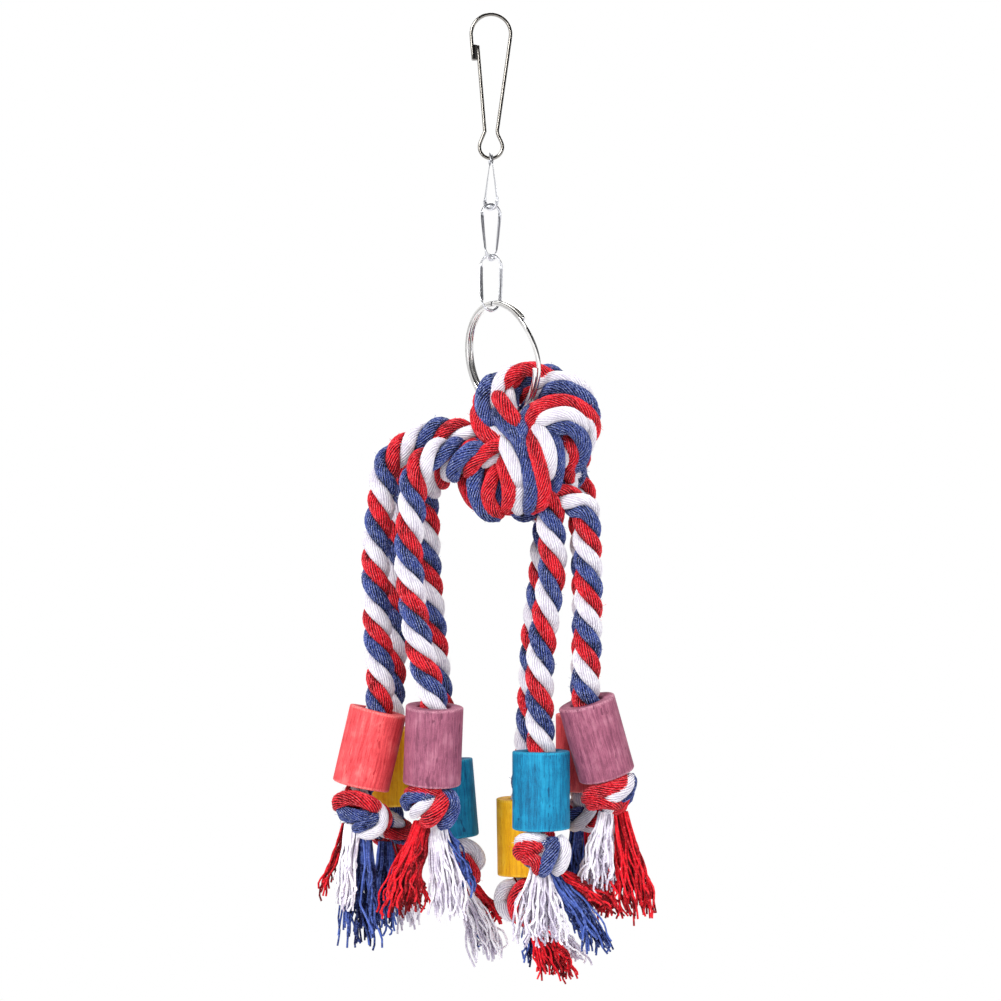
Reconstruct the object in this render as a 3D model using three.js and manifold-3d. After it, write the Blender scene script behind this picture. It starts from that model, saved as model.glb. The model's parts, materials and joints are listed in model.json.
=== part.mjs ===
// Hanging rope toy for cage birds: four cotton ropes knotted together round a split ring. Each of
// their eight ends carries a dyed wooden bead, a stopper knot and a frayed tassel, and a snap hook
// on a short chain hangs the whole from a cage bar.
// Millimetres, +Z up. The origin is the point of the hook that sits on the bar, +X is to the right
// in the front view and +Y points away from the viewer.

import * as THREE from "three";
import { mergeVertices } from "three/addons/utils/BufferGeometryUtils.js";
import Module from "manifold-3d";

const wasm = await Module();
wasm.setup();

// Driving dimensions, in millimetres and degrees
const CLEARANCE = 0.3; // left between pieces that touch on the real toy

const HOOK_WIRE = 1.15;
const ARCH_RADIUS = 6.5; // centreline of the arch that sits on the cage bar
const WAIST_DROP = 38; // from the hang point down to the pinched waist
const WAIST_HALF_GAP = 2; // from the middle to each leg's centreline at the waist
const WAIST_BEND_ABOVE = 0.075; // share of the back leg that the waist's bend takes
const WAIST_BEND_BELOW = 0.3; // and of the neck
const NECK_LENGTH = 5.1; // from the waist down to the middle of the small eye
const EYE_RADIUS = 3.8;
const NOSE_LENGTH = 8.6; // straight end of the arch that the gate closes on
const NOSE_INSET = 0.7; // how far the nose leans in towards the gate
const CLASP_LENGTH = 5; // folded channel on the gate that straddles the nose
const CLASP_WALL = 0.5;

const LINK_WIRE = 1.2;
const LINK_INNER_LENGTH = 17;
const LINK_INNER_WIDTH = 5.4;
const LINK_TWIST = 45; // between a link's two ends
const LINK_HEADINGS = [90, 20, -10]; // of each link's upper end, from the top link down

const RING_DIAMETER = 38;
const RING_BAND = 1.6; // radial width of the ring's wire
const RING_TURN_THICKNESS = 1.05; // of one turn, along the ring's axis
const RING_TURN_GAP = 0.45;
const RING_CORNER = 0.3; // rounding of the wire's corners
const RING_WINDING = 665; // degrees of wire in the ring, a little under two turns
const RING_STEP = 50; // degrees over which the wire steps from one turn to the other
const RING_SEAT_GAP = 0.7; // below the flat band, which bridges the link's round bow
const RING_YAW = 54; // how far the ring turns its face from the viewer
const RING_LEAN = 12; // how far it leans to the right

const ROPE_DIAMETER = 9.6;
const KNOT_ROPE_DIAMETER = 8.6; // the rope is squeezed inside the main knot
const KNOT_ACROSS = 10.6; // main knot's middle, to the right of the ring's middle
const KNOT_BELOW = 28.5; // and below it
const KNOT_CORE = [14, 11, 17]; // half sizes of the packed middle of the knot

const BEAD_DIAMETER = 18.8;
const BEAD_LENGTH = 25.5;
const BEAD_CHAMFER = 0.8;
const BORE_CLEARANCE = 0.6; // round the rope, on each side

const STOPPER_ROPE = 8.6; // rope diameter where it is pulled tight in a stopper knot
const STOPPER_RADIUS = 5; // of the rope's wrap round the stopper knot's middle
const STOPPER_TILT = 28; // lean of the wrap
const STOPPER_REACH = 150; // how far the wrap goes to each side
const STRAP_TILT = 58; // lean of the pass that crosses the wrap
const STRAP_REACH = 70; // how far that pass goes to each side
const STRAP_TURN = 70; // from the wrap round to that pass
const STOPPER_TURN = 45; // from one stopper knot to the next, so that no two look alike

const TASSEL_NECK = 4.2; // half width where the yarns leave the stopper knot
const TASSEL_BUNDLES = 3;
const TASSEL_FLUTE = 0.13; // depth of the bundles' flutes, as a share of the half width
const TASSEL_FLARE = [-0.3, 1.15]; // where the flare would begin and end, as shares of the length
const TASSEL_FLATNESS = 0.8; // depth from front to back, as a share of the width
const TASSEL_RAGGED = 0.06; // how far the hem's yarns differ, as a share of the length
const TASSEL_HOLLOW = 0.05; // how far the hem's middle is cut up, as a share of the length

// How finely round shapes are cut: sides of a section, and steps along a line
const ROPE_SIDES = 8;
const SQUEEZED_ROPE_SIDES = 7;
const STOPPER_SIDES = 6;
const WIRE_SIDES = 7;
const BEAD_SIDES = 18;
const TASSEL_SIDES = 18;
const TASSEL_RINGS = 4;
const HOOK_STEPS = 48;
const LINK_STEPS = 32;
const RING_STEPS = 48;
const BALL_SIDES = [8, 4]; // round a ball, and from pole to pole
const CORE_SIDES = [14, 10];
const CHANNEL_SIDES = [10, 40]; // round its section, and along it
const WRAP_STEPS = 11;
const STRAP_STEPS = 5;

const STEEL = new THREE.MeshStandardMaterial({ color: 0xc9cbc8, roughness: 0.22, metalness: 1 });
const NICKEL = new THREE.MeshStandardMaterial({ color: 0xd9d7d0, roughness: 0.12, metalness: 1 });
const COTTON = new THREE.MeshStandardMaterial({ color: 0xd4303c, roughness: 0.95, metalness: 0 });
const DYES = { red: 0xe8504c, purple: 0xa9658f, yellow: 0xe2a51c, blue: 0x1f9cc4 };

// The rope's passes over the main knot, from the knot's middle, chosen by hand from the front view.
const KNOT_PASSES = {
  ring_loop: [
    [-15, -6, 3], [-17.5, -5, 12], [-12, -4, 20], [-3, -3, 24], [6, -3, 22.5],
    [14, -4, 17], [18.5, -5, 8.5], [18, -4, 0], [12, -2, -7],
  ],
  front_loop: [[-4, -8, 6], [2, -12.5, 11.5], [10, -14, 10], [14.5, -13, 3], [12.5, -10, -5], [8, -6, -10]],
  front_strap: [[-1, -9, 8], [3, -15, 2], [3.5, -16, -6], [1.6, -13.5, -15], [-2, -7, -21]],
  left_strap: [[-12, -8, 15], [-9.5, -12.5, 9], [-6, -14.5, 1], [-6, -12.5, -7], [-4, -7, -15]],
  left_loop: [[-10, -9, 1], [-16, -10, -6], [-17, -9, -14], [-12, -8, -20], [-4, -6, -22]],
  left_cross: [[-6, -10, -3], [-10, -12.5, -10], [-9, -10, -18]],
  back_loop: [[14, 7, 6], [9, 11, 15], [-1, 13, 19], [-11, 12, 14], [-16, 10, 4], [-13, 7, -6]],
  back_strap: [[5, 9, 14], [4, 15, 4], [2, 15, -7], [1, 8, -18]],
  back_low: [[-11, 7, -2], [-15, 10, -11], [-9, 10, -19], [1, 8, -22], [10, 4, -17]],
  right_low: [[16, -2, 3], [18, 2, -5], [13, 2, -13], [4, 0, -19]],
};

// The eight rope ends, from the main knot's middle: the depth that each hangs at, its route over the
// knot's shoulder, the point that it swings from, its hanging route down to the bead, the bead's lean
// to the right and pitch towards the viewer in degrees, and the tassel's length, half width and lean.
const LEGS = [
  {
    name: "left_red", depth: -7.5, dye: "red", forward: true,
    shoulder: [[-12, -5, 0], [-20, -5.5, 2.2], [-28, -6, 4.4], [-35, -6.6, 3.2], [-41, -7.2, 0.2]],
    swing: [-49.8, -16.6],
    hang: [[-51.8, -31.4], [-52, -47.9], [-51.3, -64.4], [-50.5, -77.6]],
    bead: [-51.2, -87], lean: -13.2, pitch: 0, tassel: { length: 36, spread: 9, lean: 4 },
  },
  {
    name: "left_purple", depth: -15.5, dye: "purple", forward: true,
    shoulder: [[-9, -5, -3], [-17, -6.5, -2.6], [-24, -9, -2.2], [-30.5, -12.5, -2.4], [-35.5, -14.8, -5.2]],
    swing: [-39.9, -20.5],
    hang: [[-41.1, -34.7], [-39.8, -51.2], [-37.2, -67.7], [-34, -79]],
    bead: [-32.7, -85.2], lean: -2.2, pitch: 6, tassel: { length: 30, spread: 11, lean: 3 },
  },
  {
    name: "left_yellow", depth: 13, dye: "yellow", forward: false,
    shoulder: [[-10, 6, 0], [-21, 9, 1.5], [-31, 12, 0.5], [-38.5, 13, -4.5]],
    swing: [-44.9, -20.5],
    hang: [[-45.9, -38], [-46.5, -57.8], [-47.6, -80]],
    bead: [-48.2, -94.5], lean: 0, pitch: 0, tassel: { length: 29, spread: 8, lean: 3 },
  },
  {
    name: "left_blue", depth: 8, dye: "blue", forward: false,
    shoulder: [[-8, -6, -2.5], [-16, -8.5, -4], [-23, -7.5, -5.8], [-28.5, -3, -8], [-33, 3, -12]],
    swing: [-36, -26],
    hang: [[-35.7, -38], [-34.4, -54], [-32.6, -74], [-30.6, -94]],
    bead: [-29.9, -104.7], lean: 4.8, pitch: 0, tassel: { length: 27, spread: 8.5, lean: 18 },
  },
  {
    name: "right_blue", depth: -10.5, dye: "blue", forward: true,
    shoulder: [[3, -4, -8], [4.2, -8, -14]],
    swing: [5.2, -27.1],
    hang: [[5.8, -38], [4, -52.8], [2, -67.7], [1.5, -85.4]],
    bead: [2, -100.1], lean: 0, pitch: 0, tassel: { length: 27, spread: 13, lean: 18 },
  },
  {
    name: "right_yellow", depth: 9, dye: "yellow", forward: false,
    shoulder: [[0, 6, -13], [2.4, 8.5, -20]],
    swing: [3.5, -33],
    hang: [[2.4, -46], [0.4, -61.1], [-0.8, -80.9], [-2.2, -101]],
    bead: [-3.2, -117.4], lean: 1, pitch: 0, tassel: { length: 21, spread: 9, lean: 22 },
  },
  {
    name: "right_purple", depth: -11, dye: "purple", forward: true,
    shoulder: [[1, -4, -11], [7.5, -8.5, -16.3], [13.2, -10.6, -19.4]],
    swing: [16.9, -31],
    hang: [[17.4, -40], [17.4, -52.8], [17, -69.3], [16.6, -77]],
    bead: [16.8, -83.9], lean: 15.6, pitch: 8, tassel: { length: 33, spread: 9, lean: 4 },
  },
  {
    name: "right_red", depth: 11, dye: "red", forward: false,
    shoulder: [[7, 7, -4], [11, 10, -10]],
    swing: [15.8, -22.4],
    hang: [[16.8, -38], [17.2, -57.8], [16.8, -76]],
    bead: [16.5, -89.6], lean: 0, pitch: 0, tassel: { length: 29, spread: 8, lean: 8 },
  },
];

// Sizes worked out from the driving dimensions
const ropeRadius = ROPE_DIAMETER / 2;
const linkPitch = LINK_INNER_LENGTH + LINK_WIRE; // between the wire's middles at a link's two ends
const archCentre = HOOK_WIRE / 2 - ARCH_RADIUS;
const eyeCentre = -WAIST_DROP - NECK_LENGTH;
const ringRadius = (RING_DIAMETER - RING_BAND) / 2; // to the middle of the band
const ringPitch = RING_TURN_THICKNESS + RING_TURN_GAP;
const ringDepth = ringPitch + RING_TURN_THICKNESS; // over both turns
const stopperHeight = STOPPER_ROPE + 2 * STOPPER_RADIUS * Math.sin(rad(STOPPER_TILT));

function rad(degrees) {
  return THREE.MathUtils.degToRad(degrees);
}

// A point of a list as a vector.
function vec([x, y, z]) {
  return new THREE.Vector3(x, y, z);
}

// A round section with few sides, for a tube.
function roundSection(radius, sides) {
  const points = Array.from({ length: sides }, (_, i) => {
    const angle = (2 * Math.PI * (i + 0.5)) / sides;
    return new THREE.Vector2(radius * Math.cos(angle), radius * Math.sin(angle));
  });
  return new THREE.Shape(points);
}

// A closed tube with flat ends along an open curve.
function tube(curve, section, steps) {
  return new THREE.ExtrudeGeometry(section, { steps, extrudePath: curve, bevelEnabled: false });
}

// A rope's tube through a list of points.
function ropeTube(points, diameter, steps, sides = ROPE_SIDES) {
  return tube(new THREE.CatmullRomCurve3(points), roundSection(diameter / 2, sides), steps);
}

// A closed geometry as a solid for joining and cutting.
function solidOf(geometry, matrix = new THREE.Matrix4()) {
  const bare = new THREE.BufferGeometry();
  bare.setAttribute("position", geometry.getAttribute("position").clone());
  if (geometry.index) bare.setIndex(geometry.index);
  bare.applyMatrix4(matrix);
  const merged = mergeVertices(bare, 1e-4);
  return new wasm.Manifold(
    new wasm.Mesh({
      numProp: 3,
      vertProperties: new Float32Array(merged.getAttribute("position").array),
      triVerts: new Uint32Array(merged.index.array),
    }),
  );
}

// A solid back as a geometry.
function geometryOf(solid) {
  const mesh = solid.getMesh();
  const geometry = new THREE.BufferGeometry();
  geometry.setAttribute("position", new THREE.BufferAttribute(new Float32Array(mesh.vertProperties), 3));
  geometry.setIndex(new THREE.BufferAttribute(new Uint32Array(mesh.triVerts), 1));
  geometry.computeVertexNormals();
  return geometry;
}

function joined(geometries) {
  return geometries.map((g) => solidOf(g)).reduce((whole, piece) => whole.add(piece));
}

function ball(centre, radius) {
  return new THREE.SphereGeometry(radius, ...BALL_SIDES).translate(centre.x, centre.y, centre.z);
}

function piece(name, geometry, material) {
  const mesh = new THREE.Mesh(geometry, material);
  mesh.name = name;
  return mesh;
}

// A flat path drawn in the front view, stood up in the XZ plane.
class FrontCurve extends THREE.Curve {
  constructor(path) {
    super();
    this.path = path;
  }

  getPoint(t, target = new THREE.Vector3()) {
    const p = this.path.getPoint(t);
    return target.set(p.x, 0, p.y);
  }
}

// One chain link's wire: a stadium that twists about its long axis as it goes down from the origin.
class LinkCurve extends THREE.Curve {
  getPoint(t, target = new THREE.Vector3()) {
    const bow = (LINK_INNER_WIDTH + LINK_WIRE) / 2;
    const side = linkPitch - 2 * bow;
    const round = Math.PI * bow;
    const whole = 2 * (side + round);
    let s = ((t % 1) + 1) % 1 * whole;
    let across;
    let down;
    if (s < round) {
      const angle = s / bow;
      across = bow * Math.cos(Math.PI - angle);
      down = bow - bow * Math.sin(angle);
    } else if ((s -= round) < side) {
      across = bow;
      down = bow + s;
    } else if ((s -= side) < round) {
      const angle = s / bow;
      across = bow * Math.cos(angle);
      down = bow + side + bow * Math.sin(angle);
    } else {
      s -= round;
      across = -bow;
      down = bow + side - s;
    }
    const turn = rad(LINK_TWIST) * (down / linkPitch);
    return target.set(across * Math.cos(turn), across * Math.sin(turn), -down);
  }
}

// The split ring's wire in its own XY plane: two flat turns, with one short step between them.
class SplitRingCurve extends THREE.Curve {
  getPoint(t, target = new THREE.Vector3()) {
    const angle = rad(RING_WINDING) * t;
    const step = THREE.MathUtils.smoothstep(
      angle,
      rad(RING_WINDING - RING_STEP) / 2,
      rad(RING_WINDING + RING_STEP) / 2,
    );
    const rise = ringPitch * (step - 0.5);
    return target.set(ringRadius * Math.cos(angle), ringRadius * Math.sin(angle), rise);
  }
}

// Where a straight line from a point meets a round arc as its tangent, as the arc's angle. The point is
// given from the arc's centre, and the side is 1 for the tangent anticlockwise of it, -1 for the other.
function tangentAngle(x, z, radius, side) {
  return Math.atan2(z, x) + side * Math.acos(radius / Math.hypot(x, z));
}

const waist = new THREE.Vector2(WAIST_HALF_GAP, -WAIST_DROP);
const neckAngle = tangentAngle(waist.x, NECK_LENGTH, EYE_RADIUS, -1);
const neckFoot = new THREE.Vector2(
  EYE_RADIUS * Math.cos(neckAngle),
  eyeCentre + EYE_RADIUS * Math.sin(neckAngle),
);
const gatePivot = new THREE.Vector3(-waist.x, 0, waist.y);
const noseFoot = new THREE.Vector2(-ARCH_RADIUS + NOSE_INSET, archCentre - NOSE_LENGTH);

// The hook's wire: nose, arch, back leg, waist and eye, up to where the sprung gate leg begins.
function hookBody() {
  const legAngle = tangentAngle(waist.x, waist.y - archCentre, ARCH_RADIUS, 1);
  const legFoot = new THREE.Vector2(
    ARCH_RADIUS * Math.cos(legAngle),
    archCentre + ARCH_RADIUS * Math.sin(legAngle),
  );
  const aboveWaist = waist.clone().lerp(legFoot, WAIST_BEND_ABOVE);
  const belowWaist = waist.clone().lerp(neckFoot, WAIST_BEND_BELOW);
  const gateGap = HOOK_WIRE / 2 + CLEARANCE;
  const neckEnd = waist.clone().add(neckFoot.clone().sub(waist).setLength(gateGap));

  const path = new THREE.Path();
  path.moveTo(noseFoot.x, noseFoot.y);
  path.lineTo(-ARCH_RADIUS, archCentre);
  path.absarc(0, archCentre, ARCH_RADIUS, Math.PI, legAngle, true);
  path.lineTo(aboveWaist.x, aboveWaist.y);
  path.quadraticCurveTo(waist.x, waist.y, belowWaist.x, belowWaist.y);
  path.lineTo(neckFoot.x, neckFoot.y);
  path.absarc(0, eyeCentre, EYE_RADIUS, neckAngle, -Math.PI - neckAngle, true);
  path.lineTo(-neckEnd.x, neckEnd.y);
  return tube(new FrontCurve(path), roundSection(HOOK_WIRE / 2, WIRE_SIDES), HOOK_STEPS);
}

// The gate leg springs from a ball at the waist, and its folded channel straddles the nose.
function hookGate() {
  const claspTop = noseFoot.y + CLASP_LENGTH;
  const claspBack = noseFoot.x + HOOK_WIRE / 2 + CLEARANCE;
  const cheek = HOOK_WIRE / 2 + CLEARANCE + CLASP_WALL;
  const reach = HOOK_WIRE; // how far the cheeks wrap round the nose
  const channel = new THREE.Shape([
    new THREE.Vector2(claspBack + CLASP_WALL, -cheek),
    new THREE.Vector2(claspBack + CLASP_WALL, cheek),
    new THREE.Vector2(claspBack - reach, cheek),
    new THREE.Vector2(claspBack - reach, cheek - CLASP_WALL),
    new THREE.Vector2(claspBack, cheek - CLASP_WALL),
    new THREE.Vector2(claspBack, CLASP_WALL - cheek),
    new THREE.Vector2(claspBack - reach, CLASP_WALL - cheek),
    new THREE.Vector2(claspBack - reach, -cheek),
  ]);
  const clasp = new THREE.ExtrudeGeometry(channel, { depth: CLASP_LENGTH, bevelEnabled: false });
  clasp.translate(0, 0, noseFoot.y);
  const tip = new THREE.Vector3(claspBack + HOOK_WIRE / 2, 0, claspTop - HOOK_WIRE / 2);
  const leg = tube(new THREE.LineCurve3(gatePivot, tip), roundSection(HOOK_WIRE / 2, WIRE_SIDES), 1);
  return geometryOf(joined([clasp, leg, ball(gatePivot, HOOK_WIRE / 2)]));
}

function snapHook() {
  const group = new THREE.Group();
  group.add(piece("snap_hook", hookBody(), STEEL));
  group.add(piece("hook_gate", hookGate(), STEEL));
  return group;
}

// Chain links, each hung inside the end of the one above and turned across it.
function chain() {
  const group = new THREE.Group();
  const seat = LINK_WIRE + CLEARANCE;
  let top = eyeCentre - EYE_RADIUS + (HOOK_WIRE + LINK_WIRE) / 2 + CLEARANCE;
  LINK_HEADINGS.forEach((heading, i) => {
    const geometry = new THREE.TubeGeometry(new LinkCurve(), LINK_STEPS, LINK_WIRE / 2, WIRE_SIDES, true);
    const link = piece(`chain_link_${i + 1}`, geometry, STEEL);
    link.position.z = top;
    link.rotation.z = rad(heading);
    group.add(link);
    top += seat - linkPitch;
  });
  return group;
}

const chainFoot =
  eyeCentre - EYE_RADIUS + (HOOK_WIRE + LINK_WIRE) / 2 + CLEARANCE -
  LINK_HEADINGS.length * linkPitch + (LINK_HEADINGS.length - 1) * (LINK_WIRE + CLEARANCE);

// The ring's frame: its own X points from its middle up to the link, and its Z is the ring's axis.
function ringFrame() {
  const up = new THREE.Vector3(-Math.sin(rad(RING_LEAN)), 0, Math.cos(rad(RING_LEAN)));
  const level = new THREE.Vector3(Math.cos(rad(RING_LEAN)), 0, Math.sin(rad(RING_LEAN)));
  const side = level.multiplyScalar(Math.cos(rad(RING_YAW)));
  side.y = -Math.sin(rad(RING_YAW));
  const axis = new THREE.Vector3().crossVectors(up, side);
  const seat = (LINK_WIRE + RING_BAND) / 2 + RING_SEAT_GAP;
  const middle = new THREE.Vector3(0, 0, chainFoot + seat).addScaledVector(up, -ringRadius);
  return new THREE.Matrix4().makeBasis(up, side, axis).setPosition(middle);
}

// A flat spring-steel wire of rounded section, wound nearly twice.
function splitRing() {
  const across = RING_TURN_THICKNESS / 2;
  const along = RING_BAND / 2;
  const section = new THREE.Shape([
    new THREE.Vector2(-across, along - RING_CORNER),
    new THREE.Vector2(-across, RING_CORNER - along),
    new THREE.Vector2(RING_CORNER - across, -along),
    new THREE.Vector2(across - RING_CORNER, -along),
    new THREE.Vector2(across, RING_CORNER - along),
    new THREE.Vector2(across, along - RING_CORNER),
    new THREE.Vector2(across - RING_CORNER, along),
    new THREE.Vector2(RING_CORNER - across, along),
  ]);
  const curve = new SplitRingCurve();
  const ring = piece("split_ring", tube(curve, section, RING_STEPS), NICKEL);
  ring.rotation.z = Math.PI / 2; // the wire's ends lie on the far left, clear of the link
  const group = new THREE.Group();
  group.add(ring);
  group.applyMatrix4(ringFrame());
  console.log(`split_ring: least gap between its turns ${leastTurnGap(curve).toFixed(2)} mm`);
  return group;
}

// The least distance between the two turns' surfaces, measured on points of the wire's middle.
function leastTurnGap(curve) {
  const samples = 300;
  const points = curve.getPoints(samples);
  const fullTurn = Math.round((samples * 360) / RING_WINDING);
  let least = Infinity;
  for (let i = 0; i + fullTurn < points.length; i++) {
    least = Math.min(least, points[i].distanceTo(points[i + fullTurn]));
  }
  return least - RING_TURN_THICKNESS;
}

function knotMiddle() {
  const ringMiddle = new THREE.Vector3().setFromMatrixPosition(ringFrame());
  return ringMiddle.add(new THREE.Vector3(KNOT_ACROSS, 0, -KNOT_BELOW));
}

function beadTurn(leg) {
  return new THREE.Euler(rad(leg.pitch), -rad(leg.lean), 0, "YXZ");
}

// A leg's swing point and hanging route, from the main knot's middle.
function legRoute(leg) {
  const at = ([x, z]) => new THREE.Vector3(x, leg.depth, z);
  const swing = at(leg.swing);
  const axis = new THREE.Vector3(0, 0, -1).applyEuler(beadTurn(leg));
  const beadTop = at(leg.bead);
  const beadFoot = beadTop.clone().addScaledVector(axis, BEAD_LENGTH);
  const beadHeart = beadTop.clone().addScaledVector(axis, BEAD_LENGTH / 2);
  const route = [swing, ...leg.hang.map(at), beadTop, beadHeart, beadFoot];
  const start = route[1].clone().sub(swing).normalize();
  return { route, swing, start, axis, beadTop, beadFoot };
}

// The knot: passes of squeezed rope round a packed core, with the eight rope ends' shoulders, and a
// round channel that the split ring turns in.
function mainKnot() {
  const core = new THREE.SphereGeometry(1, ...CORE_SIDES).scale(...KNOT_CORE);
  const passes = Object.values(KNOT_PASSES).map((points) =>
    ropeTube(points.map(vec), KNOT_ROPE_DIAMETER, points.length + 2, SQUEEZED_ROPE_SIDES),
  );
  const shoulders = LEGS.map((leg) => {
    const { swing, start } = legRoute(leg);
    const end = swing.clone().addScaledVector(start, -ropeRadius - CLEARANCE);
    const square = end.clone().addScaledVector(start, -ropeRadius);
    return ropeTube([...leg.shoulder.map(vec), square, end], ROPE_DIAMETER, leg.shoulder.length + 3);
  });
  const channelRadius = Math.hypot(ringDepth, RING_BAND) / 2 + CLEARANCE;
  const channel = new THREE.TorusGeometry(ringRadius, channelRadius, ...CHANNEL_SIDES);
  const intoKnot = ringFrame().premultiply(new THREE.Matrix4().setPosition(knotMiddle().negate()));
  const solid = joined([core, ...passes, ...shoulders]).subtract(solidOf(channel, intoKnot));
  const body = solid.decompose().reduce((a, b) => (a.volume() > b.volume() ? a : b));
  return piece("main_knot", geometryOf(body), COTTON);
}

// A rope end hangs from a round end at its swing point and runs on through the bead.
function ropeLeg(leg) {
  const { route, swing } = legRoute(leg);
  const rope = ropeTube(route, ROPE_DIAMETER, route.length + 2);
  return piece(`rope_leg_${leg.name}`, geometryOf(joined([rope, ball(swing, ropeRadius)])), COTTON);
}

// A turned dowel with lightly broken edges and a bore for the rope.
function bead(leg) {
  const bore = ropeRadius + BORE_CLEARANCE;
  const outer = BEAD_DIAMETER / 2;
  const half = BEAD_LENGTH / 2;
  const profile = [
    new THREE.Vector2(bore, -half),
    new THREE.Vector2(outer - BEAD_CHAMFER, -half),
    new THREE.Vector2(outer, BEAD_CHAMFER - half),
    new THREE.Vector2(outer, half - BEAD_CHAMFER),
    new THREE.Vector2(outer - BEAD_CHAMFER, half),
    new THREE.Vector2(bore, half),
    new THREE.Vector2(bore, -half),
  ];
  const geometry = new THREE.LatheGeometry(profile, BEAD_SIDES).rotateX(Math.PI / 2);
  const wood = new THREE.MeshStandardMaterial({ color: DYES[leg.dye], roughness: 0.75, metalness: 0 });
  const mesh = piece(`bead_${leg.name}`, geometry, wood);
  mesh.position.z = half;
  return mesh;
}

// A tilted stretch of rope round the stopper knot's middle, as far as the reach to each side.
function wrapPoints(tilt, heading, reach, count) {
  const tilted = new THREE.Euler(rad(tilt), 0, rad(heading), "ZXY");
  return Array.from({ length: count }, (_, i) => {
    const angle = rad(reach) * ((2 * i) / (count - 1) - 1);
    const level = new THREE.Vector3(STOPPER_RADIUS * Math.cos(angle), STOPPER_RADIUS * Math.sin(angle), 0);
    return level.applyEuler(tilted);
  });
}

// An overhand knot pulled tight: one wrap round the rope's end and one pass that crosses it.
function stopperKnot(leg, heading) {
  const wrapLine = wrapPoints(STOPPER_TILT, heading, STOPPER_REACH, WRAP_STEPS);
  const strapLine = wrapPoints(STRAP_TILT, heading + STRAP_TURN, STRAP_REACH, STRAP_STEPS);
  const wrap = ropeTube(wrapLine, STOPPER_ROPE, WRAP_STEPS, STOPPER_SIDES);
  const strap = ropeTube(strapLine, STOPPER_ROPE, STRAP_STEPS, STOPPER_SIDES);
  const core = new THREE.SphereGeometry(1, ROPE_SIDES, STOPPER_SIDES).rotateX(Math.PI / 2);
  core.scale(STOPPER_RADIUS, STOPPER_RADIUS, stopperHeight / 2);
  const width = 2 * (STOPPER_RADIUS + STOPPER_ROPE);
  const slab = new THREE.BoxGeometry(width, width, stopperHeight);
  const knot = joined([wrap, strap, core]).intersect(solidOf(slab));
  const mesh = piece(`stopper_knot_${leg.name}`, geometryOf(knot), COTTON);
  mesh.position.z = -CLEARANCE - stopperHeight / 2;
  return mesh;
}

// A frayed end: bundles of yarn that spread from a round neck to a ragged hem.
function tassel(leg) {
  const { length, spread } = leg.tassel;
  const turn = rad(leg.lean - leg.tassel.lean);
  const crown = TASSEL_NECK * Math.abs(Math.sin(turn)); // so that a leaning neck still meets its knot
  const positions = [0, 0, crown];
  for (let i = 0; i < TASSEL_RINGS; i++) {
    const along = i / (TASSEL_RINGS - 1);
    const flare = THREE.MathUtils.smootherstep(along, ...TASSEL_FLARE);
    const half = TASSEL_NECK + (spread - TASSEL_NECK) * flare;
    for (let j = 0; j < TASSEL_SIDES; j++) {
      const angle = (2 * Math.PI * j) / TASSEL_SIDES;
      const radius = half * (1 + TASSEL_FLUTE * along * Math.cos(TASSEL_BUNDLES * angle));
      const hem = i === TASSEL_RINGS - 1 ? length * TASSEL_RAGGED * (j % 2) : 0;
      const depth = TASSEL_FLATNESS * radius * Math.sin(angle);
      positions.push(radius * Math.cos(angle), depth, hem - length * along);
    }
  }
  positions.push(0, 0, (TASSEL_HOLLOW - 1) * length);
  const foot = positions.length / 3 - 1;
  const faces = [];
  for (let j = 0; j < TASSEL_SIDES; j++) {
    const next = (j + 1) % TASSEL_SIDES;
    faces.push(0, 1 + j, 1 + next);
    for (let i = 0; i < TASSEL_RINGS - 1; i++) {
      const a = 1 + i * TASSEL_SIDES;
      const b = a + TASSEL_SIDES;
      faces.push(a + j, b + j, b + next, a + j, b + next, a + next);
    }
    const last = 1 + (TASSEL_RINGS - 1) * TASSEL_SIDES;
    faces.push(foot, last + next, last + j);
  }
  const geometry = new THREE.BufferGeometry();
  geometry.setAttribute("position", new THREE.Float32BufferAttribute(positions, 3));
  geometry.setIndex(faces);
  geometry.computeVertexNormals();
  const mesh = piece(`tassel_${leg.name}`, geometry, COTTON);
  mesh.position.z = -2 * CLEARANCE - stopperHeight - crown;
  mesh.rotation.y = turn;
  return mesh;
}

// What one rope end carries, stood on the foot of its bead with +Z up the bead's bore.
function legGroup(leg, index) {
  const { beadFoot } = legRoute(leg);
  const group = new THREE.Group();
  group.position.copy(beadFoot);
  group.rotation.copy(beadTurn(leg));
  group.add(bead(leg), stopperKnot(leg, STOPPER_TURN * index), tassel(leg));
  return group;
}

const ropes = new THREE.Group();
ropes.position.copy(knotMiddle());
ropes.add(mainKnot(), ...LEGS.map(ropeLeg), ...LEGS.map(legGroup));

const toy = new THREE.Group();
toy.add(snapHook(), chain(), splitRing(), ropes);

export default toy;
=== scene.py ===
"""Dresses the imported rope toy: laid cotton rope, dyed wooden beads, frayed tassels and bright wire."""

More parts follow.
